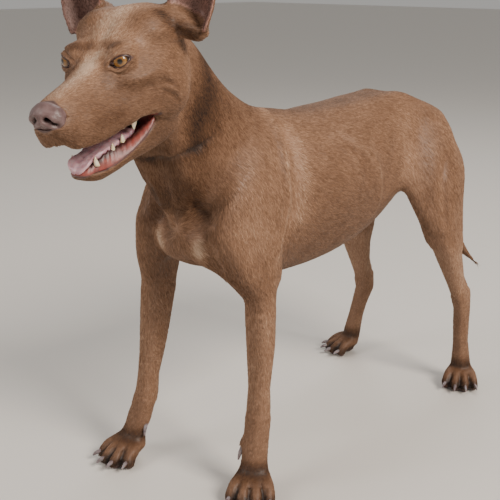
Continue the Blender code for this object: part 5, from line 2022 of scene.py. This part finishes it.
@dataclass(frozen=True)
class Coated(Finish):
    """The coat's colour: its markings with painted light and shade, soft patches, and the tufts' own shades that tell
    one hair from the next.
    """

    start: float = 0.135
    # The strands' share spreads single tufts from dark to pale; the pale ones stand partly for gloss on single hairs, a
    # painted sheen.
    values: tuple = (("tone", 0.30), ("strand", 0.28), ("along", 0.16))
    grains: tuple = ((38.0, 4.0, 0.17), (240.0, 2.0, 0.12))
    stops: tuple = ((0.02, "26170f"), (0.28, "5a3d28"), (0.50, "7f5e47"), (0.70, "a17d63"), (0.95, "d0b298"))

    def colour(self, tree: NodeTree) -> NodeSocket:
        """The sum of what the piece carries and of two grains, read on one ramp from dark to pale hair.

        Args:
            tree: the material's nodes.

        Returns:
            The colour.
        """
        parts = [(value_of(tree, name), share) for name, share in self.values]
        parts += [(grain_of(tree, scale, detail), share) for scale, detail, share in self.grains]
        shade = None
        for value, share in parts:
            added = add_node(tree, "ShaderNodeMath", {"operation": "MULTIPLY_ADD"}, {0: value})
            added.inputs[1].default_value = share
            added.inputs[2].default_value = self.start
            if shade:
                tree.links.new(shade, added.inputs[2])
            shade = added.outputs[0]
        return ramp_over(tree, shade, self.stops)


@dataclass(frozen=True)
class CoatedSkin(Coated):
    """Hair-brown where it is covered, mauve-brown where bare, and red in the mouth, with the skin's fine grain."""

    def relief(self, tree: NodeTree, surface: Node) -> None:
        """The pores and creases of bare skin."""
        roughened(tree, surface, grain_of(tree, 700.0, 3.0), 0.35, 0.0006)


@dataclass(frozen=True)
class Mottled(Finish):
    """Colours in soft patches, as bare skin has them."""

    patches: tuple = (900.0, 3.0)
    stops: tuple = ((0.3, "2a1814"), (0.7, "4a2f2c"))

    def colour(self, tree: NodeTree) -> NodeSocket:
        """The patches' colour."""
        return ramp_over(tree, grain_of(tree, *self.patches), self.stops)


@dataclass(frozen=True)
class WetFlesh(Mottled):
    """Soft moist stuff, mottled, with a fine grain and a little light under its surface; its gloss shows it wet."""

    patches: tuple = (140.0, 4.0)
    grain_size: float = 420.0
    gloss: float = 0.30

    def relief(self, tree: NodeTree, surface: Node) -> None:
        """The fine grain, the gloss and the light beneath.

        Args:
            tree: the material's nodes.
            surface: the node that shades it.
        """
        roughened(tree, surface, grain_of(tree, self.grain_size, 2.0), 0.30, 0.0006)
        surface.inputs["Roughness"].default_value = self.gloss
        surface.inputs["Subsurface Weight"].default_value = 0.15
        surface.inputs["Subsurface Scale"].default_value = 0.002


@dataclass(frozen=True)
class Leather(Mottled):
    """Mauve-brown pebbled leather, a little moist, with painted shade that darkens the nostrils."""

    patches: tuple = (160.0, 3.0)
    pebbles: float = 1300.0

    def relief(self, tree: NodeTree, surface: Node) -> None:
        """The pebbles, with grooves between them.

        Args:
            tree: the material's nodes.
            surface: the node that shades it.
        """
        place = add_node(tree, "ShaderNodeTexCoord")
        cells = add_node(tree, "ShaderNodeTexVoronoi", {"feature": "SMOOTH_F1"}, {"Vector": place.outputs["Object"]},
                         Scale=self.pebbles)
        roughened(tree, surface, cells.outputs["Distance"], 0.45, 0.0005, True)


@dataclass(frozen=True)
class EyeSurface(Finish):
    """Amber iris with fine spokes, a black pupil and a dark outer ring, under a wet clear coat."""

    rings: tuple = ((0.00, "060404"), (0.115, "060404"), (0.135, "4a3216"), (0.20, "96672f"), (0.33, "a87838"),
                    (0.44, "6f4a22"), (0.50, "22140b"), (0.54, "3c302b"), (0.65, "7c6c60"))
    spokes: tuple = ((0.30, "8a8a8a"), (0.70, "ffffff"))
    spoke_share: float = 0.75

    def colour(self, tree: NodeTree) -> NodeSocket:
        """Rings by the angle off the eye's axis, darkened between spokes that run out from the pupil.

        Args:
            tree: the material's nodes.

        Returns:
            The colour.
        """
        off = value_of(tree, "off_axis")
        joined = add_node(tree, "ShaderNodeCombineXYZ", {}, {"X": value_of(tree, "around"), "Y": off})
        wide = add_node(tree, "ShaderNodeMapping", {}, {"Vector": joined.outputs["Vector"]}, Scale=(46.0, 5.0, 1.0))
        noise = add_node(tree, "ShaderNodeTexNoise", {"noise_dimensions": "2D"}, {"Vector": wide.outputs["Vector"]},
                         Scale=1.0, Detail=3.0)
        mixed = add_node(tree, "ShaderNodeMix", {"data_type": "RGBA", "blend_type": "MULTIPLY"})
        mixed.inputs["Factor"].default_value = self.spoke_share
        tree.links.new(ramp_over(tree, off, self.rings), mixed.inputs["A"])
        tree.links.new(ramp_over(tree, noise.outputs["Fac"], self.spokes), mixed.inputs["B"])
        return mixed.outputs["Result"]


PAPER = Plain("pale paper backdrop", (("Roughness", 0.8),), tint="dcd8d2")
SKIN = CoatedSkin("liver skin with short hair", (("Roughness", 0.5),), (
    ("a87a6b", "lining", 0.2, 0.8), ("57413d", "bare", 0.4, 1.0),
    ("6e2f2b", "mouth", 0.3, 0.9), ("4a3431", "lip", 0.3, 0.9)))
# A soft broad gloss along the body.
SHORT_HAIR = Coated("short liver hair", (("Roughness", 0.56), ("Specular IOR Level", 0.28),
                                         ("Sheen Weight", 0.05), ("Sheen Roughness", 0.45)),
                    (("5e4239", "lining", 0.2, 0.9),))
WET_EYE = EyeSurface("wet amber eye", (("Roughness", 0.25), ("IOR", 1.376),
                                       ("Coat Weight", 1.0), ("Coat Roughness", 0.02)))
# Hairless dark skin with fine creases, moist.
LID_RIM = Mottled("moist liver lid rim", (("Roughness", 0.38),))
# Near-black in the nostrils' pits: painted shade.
NOSE_LEATHER = Leather("liver nose leather", (("Roughness", 0.36),), (("1d110f", "pit", 0.35, 0.85),),
                       stops=((0.30, "5a4341"), (0.70, "786160")))
WET_TONGUE = WetFlesh("wet tongue", stops=((0.32, "aa7a86"), (0.62, "cfaab2")), grain_size=1100.0)
# Mauve-pink on the lip, deep dark red up inside it: partly its own colour, partly painted shade within the mouth.
INNER_LIP = WetFlesh("wet inner lip", (), (("3c1614", "rise", 0.50, 0.86), ("5c3f3c", "rise", 0.24, 0.04)),
                     stops=((0.32, "65302d"), (0.62, "94493f")), gloss=0.40)
TOOTH_ENAMEL = WetFlesh("tooth enamel", stops=((0.32, "cbb98f"), (0.62, "e6dcc4")), grain_size=260.0, gloss=0.15)
CLAW_HORN = WetFlesh("grey claw horn", stops=((0.32, "5b5053"), (0.62, "8d8285")), grain_size=500.0, gloss=0.28)


# ---------------- all of it

def main() -> None:
    """Builds every piece in order."""
    logging.basicConfig(level=logging.INFO, format="%(name)s: %(message)s")
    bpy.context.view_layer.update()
    head = HeadFrame.measured()
    studio = Studio()
    studio.camera()
    studio.room()
    skin = Skin(head)
    made = skin.build()
    made.data.materials.append(SKIN.material())
    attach(made, "root")
    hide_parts(*FLESH)
    LOG.info("skin: %d triangles", len(made.data.polygons))
    Coat(skin).build(SHORT_HAIR.material())
    Eyes(head).build()
    Nose(head).build()
    Mouth(head).build()
    claws = [node for name, node in frame["nodes"].items() if name.startswith("claw")]
    for claw in claws:
        claw.data.materials.clear()
        claw.data.materials.append(CLAW_HORN.material())
    LOG.info("claws: %d", len(claws))


if __name__ == "__main__":
    main()
